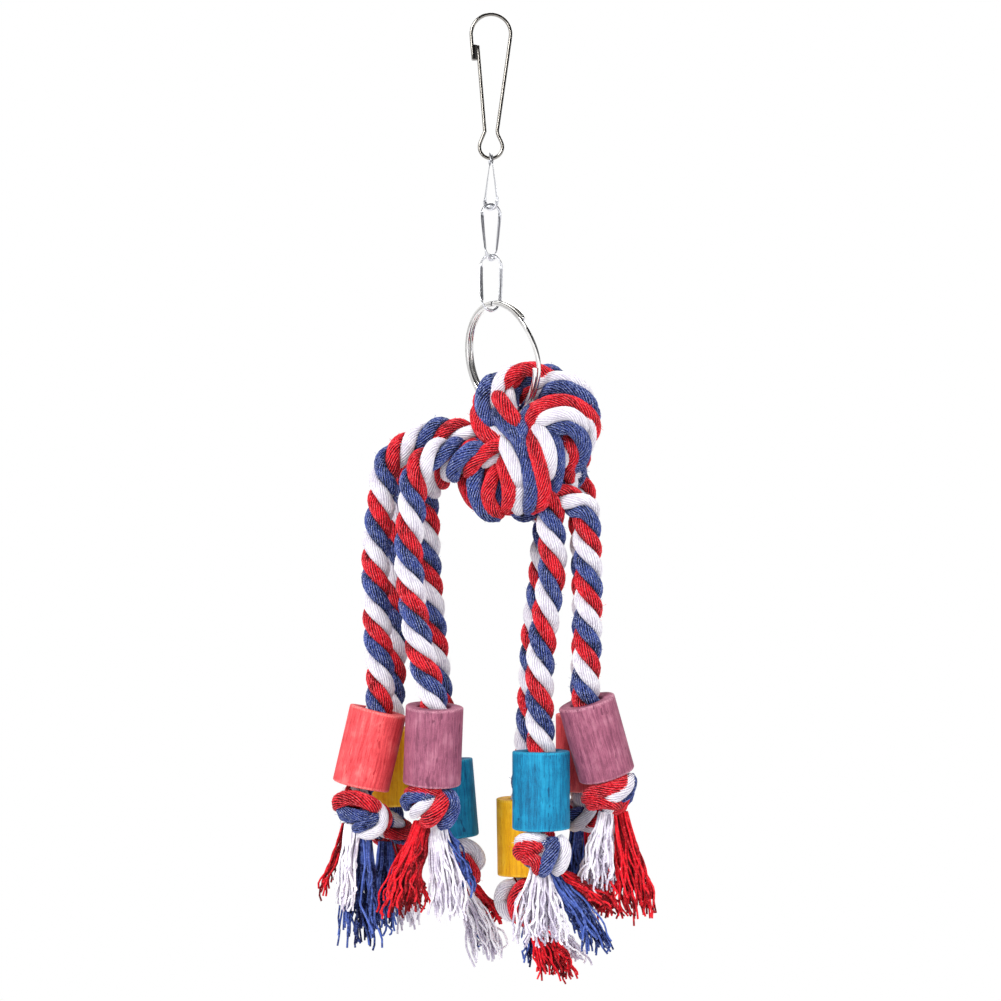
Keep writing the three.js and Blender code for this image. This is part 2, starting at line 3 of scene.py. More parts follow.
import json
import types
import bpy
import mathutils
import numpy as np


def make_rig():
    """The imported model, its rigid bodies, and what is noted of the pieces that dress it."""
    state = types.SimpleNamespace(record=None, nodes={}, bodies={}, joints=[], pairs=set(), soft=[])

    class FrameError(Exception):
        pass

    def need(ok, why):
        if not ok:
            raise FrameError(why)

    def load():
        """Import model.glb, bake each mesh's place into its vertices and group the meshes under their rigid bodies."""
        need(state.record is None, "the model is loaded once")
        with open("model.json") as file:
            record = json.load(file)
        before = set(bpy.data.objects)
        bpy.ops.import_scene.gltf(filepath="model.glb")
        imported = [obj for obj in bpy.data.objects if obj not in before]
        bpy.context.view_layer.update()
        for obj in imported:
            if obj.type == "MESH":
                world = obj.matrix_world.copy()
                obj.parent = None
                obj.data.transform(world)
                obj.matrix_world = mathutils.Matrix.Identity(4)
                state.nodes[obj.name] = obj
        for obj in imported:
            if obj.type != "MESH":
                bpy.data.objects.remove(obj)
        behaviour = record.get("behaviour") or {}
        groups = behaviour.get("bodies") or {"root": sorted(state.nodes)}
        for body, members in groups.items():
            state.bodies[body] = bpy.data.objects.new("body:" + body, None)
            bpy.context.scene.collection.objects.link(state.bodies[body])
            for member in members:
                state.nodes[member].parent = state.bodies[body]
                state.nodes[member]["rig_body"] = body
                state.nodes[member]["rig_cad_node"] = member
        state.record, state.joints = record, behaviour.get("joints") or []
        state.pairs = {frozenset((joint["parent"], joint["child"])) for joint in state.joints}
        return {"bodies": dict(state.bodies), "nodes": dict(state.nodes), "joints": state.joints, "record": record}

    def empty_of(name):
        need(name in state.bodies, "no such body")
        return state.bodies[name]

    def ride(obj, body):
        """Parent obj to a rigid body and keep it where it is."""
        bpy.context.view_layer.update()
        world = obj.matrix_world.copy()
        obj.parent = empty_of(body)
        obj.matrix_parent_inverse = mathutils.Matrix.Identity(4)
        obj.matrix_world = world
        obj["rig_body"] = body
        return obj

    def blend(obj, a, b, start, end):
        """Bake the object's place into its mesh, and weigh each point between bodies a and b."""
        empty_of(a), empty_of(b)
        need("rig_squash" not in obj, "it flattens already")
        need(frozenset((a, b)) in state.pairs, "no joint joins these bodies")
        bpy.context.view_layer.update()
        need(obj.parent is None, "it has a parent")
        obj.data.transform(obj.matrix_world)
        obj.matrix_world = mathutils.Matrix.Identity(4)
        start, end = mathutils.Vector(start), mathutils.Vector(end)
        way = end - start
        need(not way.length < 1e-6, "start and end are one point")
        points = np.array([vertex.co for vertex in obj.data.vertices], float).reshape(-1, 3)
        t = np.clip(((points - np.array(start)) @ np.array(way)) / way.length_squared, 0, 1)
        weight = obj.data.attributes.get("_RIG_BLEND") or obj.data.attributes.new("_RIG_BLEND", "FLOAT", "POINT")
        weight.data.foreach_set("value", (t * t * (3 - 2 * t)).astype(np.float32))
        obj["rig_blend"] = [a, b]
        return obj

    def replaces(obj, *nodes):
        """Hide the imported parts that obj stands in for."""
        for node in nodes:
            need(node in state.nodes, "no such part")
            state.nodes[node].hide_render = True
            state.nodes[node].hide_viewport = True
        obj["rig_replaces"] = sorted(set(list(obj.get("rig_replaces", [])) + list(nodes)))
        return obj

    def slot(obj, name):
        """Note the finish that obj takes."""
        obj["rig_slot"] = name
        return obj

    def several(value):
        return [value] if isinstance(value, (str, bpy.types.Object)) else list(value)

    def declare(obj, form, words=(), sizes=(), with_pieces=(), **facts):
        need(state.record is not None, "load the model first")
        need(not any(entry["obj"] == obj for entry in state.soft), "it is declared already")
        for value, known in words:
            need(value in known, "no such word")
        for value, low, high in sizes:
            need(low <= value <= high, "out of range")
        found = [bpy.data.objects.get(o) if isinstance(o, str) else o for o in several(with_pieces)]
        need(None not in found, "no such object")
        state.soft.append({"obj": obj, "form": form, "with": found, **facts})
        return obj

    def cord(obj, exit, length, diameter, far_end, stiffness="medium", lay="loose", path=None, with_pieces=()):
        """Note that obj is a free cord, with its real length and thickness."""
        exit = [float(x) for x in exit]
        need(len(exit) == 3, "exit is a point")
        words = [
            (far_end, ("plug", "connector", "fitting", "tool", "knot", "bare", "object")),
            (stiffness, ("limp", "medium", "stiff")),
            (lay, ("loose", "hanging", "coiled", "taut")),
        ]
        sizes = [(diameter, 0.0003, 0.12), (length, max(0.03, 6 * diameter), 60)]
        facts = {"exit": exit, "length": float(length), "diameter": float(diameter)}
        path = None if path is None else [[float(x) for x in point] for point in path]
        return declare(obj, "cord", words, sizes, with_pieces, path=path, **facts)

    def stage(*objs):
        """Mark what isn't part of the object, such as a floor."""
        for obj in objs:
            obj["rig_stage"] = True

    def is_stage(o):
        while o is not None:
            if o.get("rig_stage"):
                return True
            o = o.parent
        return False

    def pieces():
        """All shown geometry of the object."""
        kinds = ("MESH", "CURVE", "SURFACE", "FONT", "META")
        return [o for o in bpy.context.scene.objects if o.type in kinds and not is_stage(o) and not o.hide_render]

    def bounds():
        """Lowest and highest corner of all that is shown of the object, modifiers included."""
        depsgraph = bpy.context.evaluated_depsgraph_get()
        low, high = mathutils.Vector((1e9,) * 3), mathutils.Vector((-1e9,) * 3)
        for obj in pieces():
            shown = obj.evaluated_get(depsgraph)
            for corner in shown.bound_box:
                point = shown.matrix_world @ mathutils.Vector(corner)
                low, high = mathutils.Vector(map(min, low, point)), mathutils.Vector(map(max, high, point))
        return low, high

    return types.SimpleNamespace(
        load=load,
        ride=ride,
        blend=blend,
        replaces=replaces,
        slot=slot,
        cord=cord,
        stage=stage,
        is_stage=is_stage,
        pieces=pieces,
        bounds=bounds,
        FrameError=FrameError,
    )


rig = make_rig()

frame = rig.load()

import json
import logging
import math
from dataclasses import dataclass, field
from enum import Enum
from typing import Any, Iterable, Mapping, Sequence

import bmesh
import bpy
from mathutils import Matrix, Vector

log = logging.getLogger("rope_toy")

MM = 0.001
TURN = 2 * math.pi
STRAND_DATA = "strand"  # per point: how much painted light it keeps (painted shade in the yarn grooves and the lay's valleys), which yarn (0 to 1), and the length along
PHASE_DATA = "phase"  # per point of a rope's line: the strands' turn at its start
GIRTH_DATA = "girth"  # per point of a strand's line: its thickness, as a share
DYE_DATA = "dye"  # per point of a strand's line: which cotton it is
GRAIN_DATA = "grain"  # per point: a bead's own coordinates, with its bore along Z
RIM_DATA = "rim"  # per point: 1 on a bead's broken edges, where the dye is rubbed off

Point = tuple[float, float, float]
Colour = tuple[float, float, float]


def paint(red: int, green: int, blue: int) -> Colour:
    """Turns a screen colour into linear light.

    Args:
        red: Red, 0 to 255.
        green: Green, 0 to 255.
        blue: Blue, 0 to 255.

    Returns:
        The three linear values.
    """
    def linear(value: int) -> float:
        """Turns one screen value into linear light."""
        share = value / 255
        return share / 12.92 if share <= 0.04045 else ((share + 0.055) / 1.055) ** 2.4

    return linear(red), linear(green), linear(blue)


PLAIN_WHITE = paint(255, 255, 255)


def metres(point: Sequence[float]) -> Vector:
    """Turns a point in millimetres into metres.

    Args:
        point: Three numbers in millimetres.

    Returns:
        The point in metres.
    """
    return Vector(point) * MM


def joint_of(name: str) -> Mapping[str, Any]:
    """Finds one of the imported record's joints.

    Args:
        name: The joint's name.

    Returns:
        The joint as the record states it.
    """
    return next(j for j in frame["record"]["behaviour"]["joints"] if j["name"] == name)


class Cotton(Enum):
    """The dyes of the rope's strands."""

    RED = "red"
    WHITE = "white"
    BLUE = "blue"


class Dye(Enum):
    """The dyes of the beads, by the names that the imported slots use."""

    RED = "red"
    PURPLE = "purple"
    YELLOW = "yellow"
    BLUE = "blue"


class Kind(Enum):
    """Socket kinds of a geometry tree's named inputs."""

    GEOMETRY = "NodeSocketGeometry"
    FLOAT = "NodeSocketFloat"
    INTEGER = "NodeSocketInt"
    VECTOR = "NodeSocketVector"
    MATERIAL = "NodeSocketMaterial"


class Term:
    """A node's output that Python arithmetic extends with further nodes."""

    def __init__(self, graph: "Graph", socket: bpy.types.NodeSocket) -> None:
        """Wraps a socket.

        Args:
            graph: The graph that the socket belongs to.
            socket: The output socket.
        """
        self.graph = graph
        self.socket = socket

    def __add__(self, other: "Term | float") -> "Term":
        """Adds a term or number."""
        return self.graph.maths("ADD", self, other)

    __radd__ = __add__

    def __sub__(self, other: "Term | float") -> "Term":
        """Takes a term or number away."""
        return self.graph.maths("SUBTRACT", self, other)

    def __rsub__(self, other: float) -> "Term":
        """Takes this term away from a number."""
        return self.graph.maths("SUBTRACT", other, self)

    def __mul__(self, other: "Term | float") -> "Term":
        """Multiplies by a term or number."""
        return self.graph.maths("MULTIPLY", self, other)

    __rmul__ = __mul__

    def __truediv__(self, other: "Term | float") -> "Term":
        """Divides by a term or number."""
        return self.graph.maths("DIVIDE", self, other)

    def __rtruediv__(self, other: float) -> "Term":
        """Divides a number by this term."""
        return self.graph.maths("DIVIDE", other, self)

    def __pow__(self, other: "Term | float") -> "Term":
        """Raises to a power."""
        return self.graph.maths("POWER", self, other)

    def __neg__(self) -> "Term":
        """Turns the sign round."""
        return self.graph.maths("MULTIPLY", self, -1.0)

    def sin(self) -> "Term":
        """Gives the sine of an angle in radians."""
        return self.graph.maths("SINE", self)

    def cos(self) -> "Term":
        """Gives the cosine of an angle in radians."""
        return self.graph.maths("COSINE", self)

    def steps(self, low: float, high: float) -> "Term":
        """Rises smoothly from 0 at low to 1 at high.

        Args:
            low: Where the rise begins.
            high: Where it ends.

        Returns:
            The smoothed term, between 0 and 1.
        """
        inputs = {"Value": self, "From Min": low, "From Max": high}
        return self.graph.term("ShaderNodeMapRange", inputs, "Result", interpolation_type="SMOOTHSTEP")


class Graph:
    """A node tree that is written as Python expressions."""

    def __init__(self, tree: bpy.types.NodeTree) -> None:
        """Wraps a tree.

        Args:
            tree: A shader or geometry node tree.
        """
        self.tree = tree

    def feed(self, socket: bpy.types.NodeSocket, value: Any) -> None:
        """Links a term to a socket, or sets a plain value on the socket itself.

        Args:
            socket: The input socket.
            value: A Term or a plain value.
        """
        if isinstance(value, Term):
            self.tree.links.new(value.socket, socket)
        else:
            socket.default_value = value

    def node(self, kind: str, inputs: Mapping[Any, Any] | None = None, **settings: Any) -> bpy.types.Node:
        """Adds a node of any kind.

        Args:
            kind: The node's type name.
            inputs: Values or terms by the input's name or number.
            **settings: The node's own properties.

        Returns:
            The node.
        """
        made = self.tree.nodes.new(kind)
        for name, value in settings.items():
            setattr(made, name, value)
        for key, value in (inputs or {}).items():
            self.feed(made.inputs[key], value)
        return made

    def term(
        self, kind: str, inputs: Mapping[Any, Any] | None = None, output: Any = 0, **settings: Any,
    ) -> Term:
        """Adds a node and gives one of its outputs.

        Args:
            kind: The node's type name.
            inputs: Values or terms by the input's name or number.
            output: The output's name or number.
            **settings: The node's own properties.

        Returns:
            The output as a term.
        """
        return Term(self, self.node(kind, inputs, **settings).outputs[output])

    def maths(self, operation: str, *values: "Term | float") -> Term:
        """Adds a Math node.

        Args:
            operation: The node's operation.
            *values: Its terms or numbers.

        Returns:
            The result.
        """
        return self.term("ShaderNodeMath", dict(enumerate(values)), operation=operation)

    def vectors(self, operation: str, *values: Any, output: Any = 0) -> Term:
        """Adds a Vector Math node.

        Args:
            operation: The node's operation.
            *values: Its vectors; for SCALE the second value is the factor.
            output: The output's name or number.

        Returns:
            The result.
        """
        if operation == "SCALE":
            inputs: dict[Any, Any] = {0: values[0], "Scale": values[1]}
        else:
            inputs = dict(enumerate(values))
        return self.term("ShaderNodeVectorMath", inputs, output, operation=operation)

    def mix(self, factor: "Term | float", first: Any, second: Any) -> Term:
        """Mixes two colours.

        Args:
            factor: How much of the second colour.
            first: A colour or term.
            second: A colour or term.

        Returns:
            The mixed colour.
        """
        inputs = {0: factor, 6: opaque(first), 7: opaque(second)}
        return self.term("ShaderNodeMix", inputs, 2, data_type="RGBA")

    def noise(self, vector: Term, scale: float, detail: float = 2.0, roughness: float = 0.5) -> Term:
        """Adds a noise texture.

        Args:
            vector: Where it is read.
            scale: Its scale.
            detail: Its octaves.
            roughness: Their weight.

        Returns:
            The noise's value.
        """
        inputs = {"Vector": vector, "Scale": scale, "Detail": detail, "Roughness": roughness}
        return self.term("ShaderNodeTexNoise", inputs)

    def named(self, name: str) -> Term:
        """Reads a number that the geometry's points carry.

        Args:
            name: The number's name.

        Returns:
            The number.
        """
        return self.term("GeometryNodeInputNamedAttribute", {"Name": name}, "Attribute", data_type="FLOAT")

    def parts(self, vector: Term) -> tuple[Term, Term, Term]:
        """Splits a vector.

        Args:
            vector: The vector.

        Returns:
            Its three numbers.
        """
        made = self.node("ShaderNodeSeparateXYZ", {0: vector})
        return Term(self, made.outputs[0]), Term(self, made.outputs[1]), Term(self, made.outputs[2])

    def joined(self, x: "Term | float", y: "Term | float", z: "Term | float") -> Term:
        """Makes a vector of three numbers.

        Args:
            x: The first.
            y: The second.
            z: The third.

        Returns:
            The vector.
        """
        return self.term("ShaderNodeCombineXYZ", {0: x, 1: y, 2: z})

    def captured(self, geometry: Term, kind: str, **values: "Term | float") -> tuple[Term, ...]:
        """Keeps values at the geometry's points, as they are before it changes.

        Args:
            geometry: The geometry.
            kind: The values' kind.
            **values: Terms or numbers by name.

        Returns:
            The geometry, then each kept value.
        """
        made = self.node("GeometryNodeCaptureAttribute", {"Geometry": geometry}, domain="POINT")
        for name in values:
            made.capture_items.new(kind, name)
        for name, value in values.items():
            self.feed(made.inputs[name], value)
        return Term(self, made.outputs[0]), *(Term(self, made.outputs[name]) for name in values)


def opaque(colour: Any) -> Any:
    """Gives a plain colour its alpha, and leaves a term as it is.

    Args:
        colour: A Term, or a colour of three numbers.

    Returns:
        The term, or four numbers.
    """
    return colour if isinstance(colour, Term) else (*colour, 1.0)


class Finish:
    """A procedural material that is made once and shared."""

    made: dict[str, bpy.types.Material] = {}
    name: str

    def material(self) -> bpy.types.Material:
        """Gives the material, and makes it on first use.

        Returns:
            The material.
        """
        if self.name not in Finish.made:
            material = bpy.data.materials.new(self.name)
            material.use_nodes = True
            graph = Graph(material.node_tree)
            self.wire(graph, material.node_tree.nodes["Principled BSDF"])
            Finish.made[self.name] = material
        return Finish.made[self.name]

    def wire(self, graph: Graph, shader: bpy.types.Node) -> None:
        """Wires the material's nodes into its shader.

        Args:
            graph: The material's graph.
            shader: Its Principled shader.
        """
        raise NotImplementedError


@dataclass(frozen=True)
class CottonFinish(Finish):
    """Dyed cotton strands: soft two-ply yarns with shade painted into their grooves and the lay's valleys, so paler on
    their crests.

    The ply is in radians and the scales are in steps, for each metre. The grain says how strongly flecks
    and loose fibres show, 0 to 1.
    """

    name: str
    colour: Colour
    # depth is the painted shade colour, shown deep in the yarn grooves and in the lay's valleys; fluff is the colour
    # of pale loose fibres
    depth: Colour
    fluff: Colour
    ply: float = 4300.0
    grain: float = 1.0
    fibre_scale: float = 4200.0
    mottle_scale: float = 240.0
    yarn_tones: float = 72.0
    fleck_scale: Point = (64.0, 1200.0, 9.0)
    relief: float = 0.0003
    relief_share: float = 0.7
    sheen: float = 0.07

    def wire(self, graph: Graph, shader: bpy.types.Node) -> None:
        """Wires painted shade in the yarn grooves and the lay's valleys, ply lines, a mottled dye and a soft sheen.

        Args:
            graph: The material's graph.
            shader: Its Principled shader.
        """
        data = graph.term("ShaderNodeAttribute", output="Vector", attribute_name=STRAND_DATA)
        # The strand data's first number carries painted light: 1 on a yarn's crest, less in its groove and in the
        # lay's valleys, where shade is painted.
        crest, yarn, along = graph.parts(data)
        place = graph.term("ShaderNodeTexCoord", output="Object")
        fibres = graph.noise(place, self.fibre_scale, 3.0, 0.7).steps(0.35, 0.65)
        mottle = graph.noise(place, self.mottle_scale, 2.0)
        number = graph.maths("ROUND", yarn * self.yarn_tones)
        own = graph.term("ShaderNodeTexWhiteNoise", {"W": number}, noise_dimensions="1D")
        ply = ((along * self.ply + crest * 2.2 + own * 6.0).sin() * 0.5 + 0.5) * crest
        around, down, apart = self.fleck_scale
        fleck_at = graph.joined(yarn * around, along * down, own * apart)
        fleck = graph.noise(fleck_at, 1.0, 2.0, 0.6).steps(0.32, 0.68)
        mixed = (fleck * 0.24 + fibres * 0.12) * self.grain + own * (0.48 - 0.24 * self.grain)
        # Painted light and shade from the crests, mixed with random flecks, fibres, yarn tones and mottle.
        painted_light_and_tone = crest * 0.4 + mixed + (mottle - 0.5) * 0.5
        # Painted shade: where that share is low, the depth colour stands in for shade in grooves and valleys.
        dyed = graph.mix(painted_light_and_tone.steps(0.31, 0.79), self.depth, self.colour)
        # Pale loose fibres, kept on the crests and out of the painted shade.
        loose = (fleck * 0.45 + fibres * 0.55).steps(0.62, 0.88) * crest * (0.95 * self.grain)
        graph.feed(shader.inputs["Base Color"], graph.mix(loose, dyed, self.fluff))
        height = ply * 0.4 + fleck * 0.4 + fibres * 0.25
        bump = {"Height": height, "Strength": self.relief_share * self.grain, "Distance": self.relief}
        graph.feed(shader.inputs["Normal"], graph.term("ShaderNodeBump", bump, "Normal"))
        graph.feed(shader.inputs["Roughness"], mottle * 0.1 + 0.85)
        shader.inputs["Specular IOR Level"].default_value = 0.12
        shader.inputs["Sheen Weight"].default_value = self.sheen
        shader.inputs["Sheen Roughness"].default_value = 0.5


@dataclass(frozen=True)
class YarnFinish(CottonFinish):
    """The same cotton frayed into loose yarns: a longer ply and fewer flecks."""

    ply: float = 2600.0
    grain: float = 0.4


@dataclass(frozen=True)
class WoodFinish(Finish):
    """Soft wood soaked in dye: streaks and open pores along the bead, rings on its ends.

    Scales are in steps for each metre, and sizes are in metres.
    """

    name: str
    colour: Colour
    dark: Colour
    pale: Colour
    sway_scale: float = 120.0
    sway: float = 0.0012
    streak_scale: float = 3300.0
    band_scale: float = 900.0
    pore_scale: float = 2500.0
    split_scale: float = 620.0
    blotch_scale: float = 170.0
    nap_scale: float = 3200.0
    pit_scale: float = 1500.0
    pith_at: tuple[float, float] = (0.014, -0.006)
    ring_scale: float = 4600.0
    relief: float = 0.00018

    def wire(self, graph: Graph, shader: bpy.types.Node) -> None:
        """Wires streaks, pores, growth rings and rubbed edges.

        Args:
            graph: The material's graph.
            shader: Its Principled shader.
        """
        data = graph.term("ShaderNodeAttribute", output="Vector", attribute_name=GRAIN_DATA)
        rim = graph.term("ShaderNodeAttribute", output="Fac", attribute_name=RIM_DATA)
        x, y, z = graph.parts(data)
        sway = (graph.noise(data, self.sway_scale, 1.0) - 0.5) * self.sway
        fibre_at = graph.joined(x + sway, y + sway, z * 0.05)
        streak = graph.noise(fibre_at, self.streak_scale, 3.0, 0.7)
        band = graph.noise(fibre_at, self.band_scale, 2.0)
        pore_at = graph.joined(x + sway, y + sway, z * 0.1)
        pore = graph.noise(pore_at, self.pore_scale, 1.0).steps(0.66, 0.71)
        split_at = graph.joined(x + sway * 2.0, y + sway * 2.0, z * 0.3)
        split = graph.noise(split_at, self.split_scale, 1.0).steps(0.73, 0.75)
        blotch = graph.noise(data, self.blotch_scale, 3.0, 0.6)
        nap = graph.noise(data, self.nap_scale, 2.0, 0.6)
        pit = graph.noise(data, self.pit_scale, 1.0).steps(0.64, 0.7)
        pith_x, pith_y = self.pith_at
        pith = graph.vectors("LENGTH", graph.joined(x - pith_x, y - pith_y, 0.0), output="Value")
        ring = ((pith * self.ring_scale + band * 4.0).sin() * 0.5 + 0.5) ** 2.0
        tone = streak * 0.5 + band * 0.2 + blotch * 0.26 + nap * 0.2 - ring * 0.05
        stained = graph.mix(tone.steps(0.36, 0.68), self.dark, self.colour)
        faded = (band * 0.4 + blotch * 0.6).steps(0.5, 0.68) * 0.32
        worn = (streak * 0.8 + blotch * 0.2).steps(0.54, 0.76) * 0.45 + faded
        edge = rim * (nap * 0.5 + streak * 0.5).steps(0.4, 0.6) * 0.8
        rubbed = graph.mix(graph.maths("MAXIMUM", worn, edge), stained, self.pale)
        open_grain = graph.maths("MAXIMUM", pore * 0.7, split * 0.85)
        graph.feed(shader.inputs["Base Color"], graph.mix(open_grain, rubbed, self.dark))
        graph.feed(shader.inputs["Roughness"], streak * 0.2 + pore * 0.15 + 0.55)
        height = streak * 0.6 + nap * 0.3 - pore * 0.9 - split * 1.4 - pit * 0.7
        bump = {"Height": height, "Strength": 0.45, "Distance": self.relief}
        graph.feed(shader.inputs["Normal"], graph.term("ShaderNodeBump", bump, "Normal"))
        shader.inputs["Specular IOR Level"].default_value = 0.3


@dataclass(frozen=True)
class PlatedFinish(Finish):
    """Bright plating over drawn wire, with faint draw lines and smudges."""

    name: str
    colour: Colour
    dull: Colour
    roughness: float
    wear: float
    smudge_scale: float = 210.0
    mark_scale: float = 2400.0
    relief: float = 0.0001

    def wire(self, graph: Graph, shader: bpy.types.Node) -> None:
        """Wires smudges in colour and gloss, and fine marks in the surface.

        Args:
            graph: The material's graph.
            shader: Its Principled shader.
        """
        place = graph.term("ShaderNodeTexCoord", output="Object")
        smudge = graph.noise(place, self.smudge_scale, 3.0, 0.6)
        marks = graph.noise(place, self.mark_scale, 2.0, 0.6)
        graph.feed(shader.inputs["Base Color"], graph.mix(smudge.steps(0.45, 0.8), self.colour, self.dull))
        graph.feed(shader.inputs["Roughness"], smudge * 0.1 + marks * 0.04 + self.roughness)
        bump = {"Height": marks + smudge * 0.6, "Strength": self.wear, "Distance": self.relief}
        graph.feed(shader.inputs["Normal"], graph.term("ShaderNodeBump", bump, "Normal"))
        shader.inputs["Metallic"].default_value = 1.0


@dataclass(frozen=True)
class BackdropFinish(Finish):
    """A plain pale floor that shows white to the camera."""

    name: str
    colour: Colour

    def wire(self, graph: Graph, shader: bpy.types.Node) -> None:
        """Wires a matt floor that the camera sees as plain white.

        Args:
            graph: The material's graph.
            shader: Its Principled shader.
        """
        shader.inputs["Base Color"].default_value = opaque(self.colour)
        shader.inputs["Roughness"].default_value = 0.9
        seen = graph.term("ShaderNodeLightPath", output="Is Camera Ray")
        white = graph.term("ShaderNodeEmission", {"Color": opaque(PLAIN_WHITE), "Strength": 1.0})
        plain = Term(graph, shader.outputs[0])
        mixed = graph.term("ShaderNodeMixShader", {0: seen, 1: plain, 2: white})
        graph.feed(graph.tree.nodes["Material Output"].inputs["Surface"], mixed)


# Each cotton: its dye colour, the painted shade colour for grooves and valleys, and its pale fibre colour.
COTTONS: dict[Cotton, CottonFinish] = {
    Cotton.RED: CottonFinish("cotton_red", paint(250, 29, 47), paint(58, 0, 7), paint(255, 130, 138)),
    Cotton.WHITE: CottonFinish("cotton_white", paint(253, 250, 255), paint(201, 193, 209), PLAIN_WHITE),
    Cotton.BLUE: CottonFinish("cotton_blue", paint(66, 85, 164), paint(1, 2, 20), paint(196, 206, 236)),
}
# The same three colours for the loose yarns: dye, painted shade, pale fibres.
YARNS: dict[Cotton, YarnFinish] = {
    Cotton.RED: YarnFinish("yarn_red", paint(240, 26, 42), paint(88, 0, 8), paint(250, 110, 116)),
    Cotton.WHITE: YarnFinish("yarn_white", paint(253, 250, 255), paint(182, 172, 192), PLAIN_WHITE),
    Cotton.BLUE: YarnFinish("yarn_blue", paint(80, 104, 184), paint(8, 11, 56), paint(156, 174, 222)),
}
WOODS: dict[Dye, WoodFinish] = {
    Dye.RED: WoodFinish("dyed_red", paint(236, 84, 88), paint(184, 40, 48), paint(250, 146, 140)),
    Dye.PURPLE: WoodFinish("dyed_purple", paint(162, 92, 116), paint(108, 54, 76), paint(200, 142, 158)),
    Dye.YELLOW: WoodFinish("dyed_yellow", paint(255, 194, 18), paint(222, 144, 6), paint(255, 214, 74)),
    Dye.BLUE: WoodFinish("dyed_blue", paint(4, 132, 176), paint(1, 70, 108), paint(40, 168, 204)),
}
HOOK_PLATE = PlatedFinish("plated_hook", (0.3, 0.285, 0.26), (0.21, 0.195, 0.175), 0.1, 0.01)
CHAIN_PLATE = PlatedFinish("plated_chain", (0.76, 0.77, 0.8), (0.64, 0.65, 0.68), 0.3, 0.03)
RING_PLATE = PlatedFinish("plated_ring", (0.86, 0.85, 0.82), (0.66, 0.64, 0.6), 0.03, 0.09)


class Route:
    """A smooth line through given points, as the solids' ropes follow it."""

    stretch_points = 40
    least_gap = 1e-6
    least_span = 1e-12

    def __init__(self, points: Iterable[Sequence[float]]) -> None:
        """Takes the points, in metres.

        Args:
            points: The points in order.
        """
        self.points = [Vector(p) for p in points]

    def at(self, index: int, share: float) -> Vector:
        """Gives a point of the line by the centripetal Catmull-Rom rule.

        Args:
            index: The stretch, from 0.
            share: How far along the stretch, 0 to 1.

        Returns:
            The point.
        """
        known = self.points
        b, c = known[index], known[index + 1]
        a = known[index - 1] if index else b * 2 - c
        d = known[index + 2] if index + 2 < len(known) else c * 2 - b
        gaps = [max((q - p).length ** 0.5, self.least_gap) for p, q in ((a, b), (b, c), (c, d))]
        leave = ((b - a) / gaps[0] - (c - a) / (gaps[0] + gaps[1]) + (c - b) / gaps[1]) * gaps[1]
        arrive = ((c - b) / gaps[1] - (d - b) / (gaps[1] + gaps[2]) + (d - c) / gaps[2]) * gaps[1]
        return (
            b + leave * share + (c * 3 - b * 3 - leave * 2 - arrive) * share**2
            + (b * 2 - c * 2 + leave + arrive) * share**3
        )

    def line(self, step: float) -> list[Vector]:
        """Samples the line evenly.

        Args:
            step: The wanted distance between points, in metres.

        Returns:
            Points from end to end.
        """
        fine = self.stretch_points
        dense = [self.at(i, s / fine) for i in range(len(self.points) - 1) for s in range(fine)]
        dense.append(self.points[-1])
        lengths = [0.0]
        for p, q in zip(dense, dense[1:]):
            lengths.append(lengths[-1] + (q - p).length)
        count = max(2, round(lengths[-1] / step))
        even: list[Vector] = []
        at = 0
        for i in range(count + 1):
            want = lengths[-1] * i / count
            while at < len(dense) - 2 and lengths[at + 1] < want:
                at += 1
            span = max(lengths[at + 1] - lengths[at], self.least_span)
            even.append(dense[at].lerp(dense[at + 1], (want - lengths[at]) / span))
        return even


def length_of(line: Sequence[Vector]) -> float:
    """Measures a line of points.

    Args:
        line: Its points.

    Returns:
        Its length.
    """
    return sum((q - p).length for p, q in zip(line, line[1:]))


def wire_frame(
    name: str, lines: Iterable[Sequence[Vector]], closed: bool = False,
    marks: Mapping[str, Sequence[float]] | None = None,
) -> bpy.types.Object:
    """Makes an object of bare edges, which the geometry trees turn into curves.

    Args:
        name: The object's name.
        lines: The points of each line.
        closed: Whether each line joins up with its own start.
        marks: Named numbers, one for each line, that its points carry.

    Returns:
        The object.
    """
    vertices: list[Vector] = []
    edges: list[tuple[int, int]] = []
    counts: list[int] = []
    for line in lines:
        first = len(vertices)
        vertices.extend(line)
        counts.append(len(line))
        edges.extend((i, i + 1) for i in range(first, len(vertices) - 1))
        if closed:
            edges.append((len(vertices) - 1, first))
    mesh = bpy.data.meshes.new(name)
    mesh.from_pydata(vertices, edges, [])
    for key, values in (marks or {}).items():
        layer = mesh.attributes.new(key, "FLOAT", "POINT")
        layer.data.foreach_set("value", [v for v, n in zip(values, counts) for _ in range(n)])
    made = bpy.data.objects.new(name, mesh)
    bpy.context.scene.collection.objects.link(made)
    return made


def settle(made: bpy.types.Object) -> bpy.types.Object:
    """Turns an object with geometry trees into one plain mesh.

    Args:
        made: The object with its modifiers.

    Returns:
        The same object with the result as its own mesh.
    """
    graph = bpy.context.evaluated_depsgraph_get()
    mesh = bpy.data.meshes.new_from_object(made.evaluated_get(graph), depsgraph=graph)
    made.modifiers.clear()
    old = made.data
    made.data = mesh
    bpy.data.meshes.remove(old)
    mesh.name = made.name
    return made


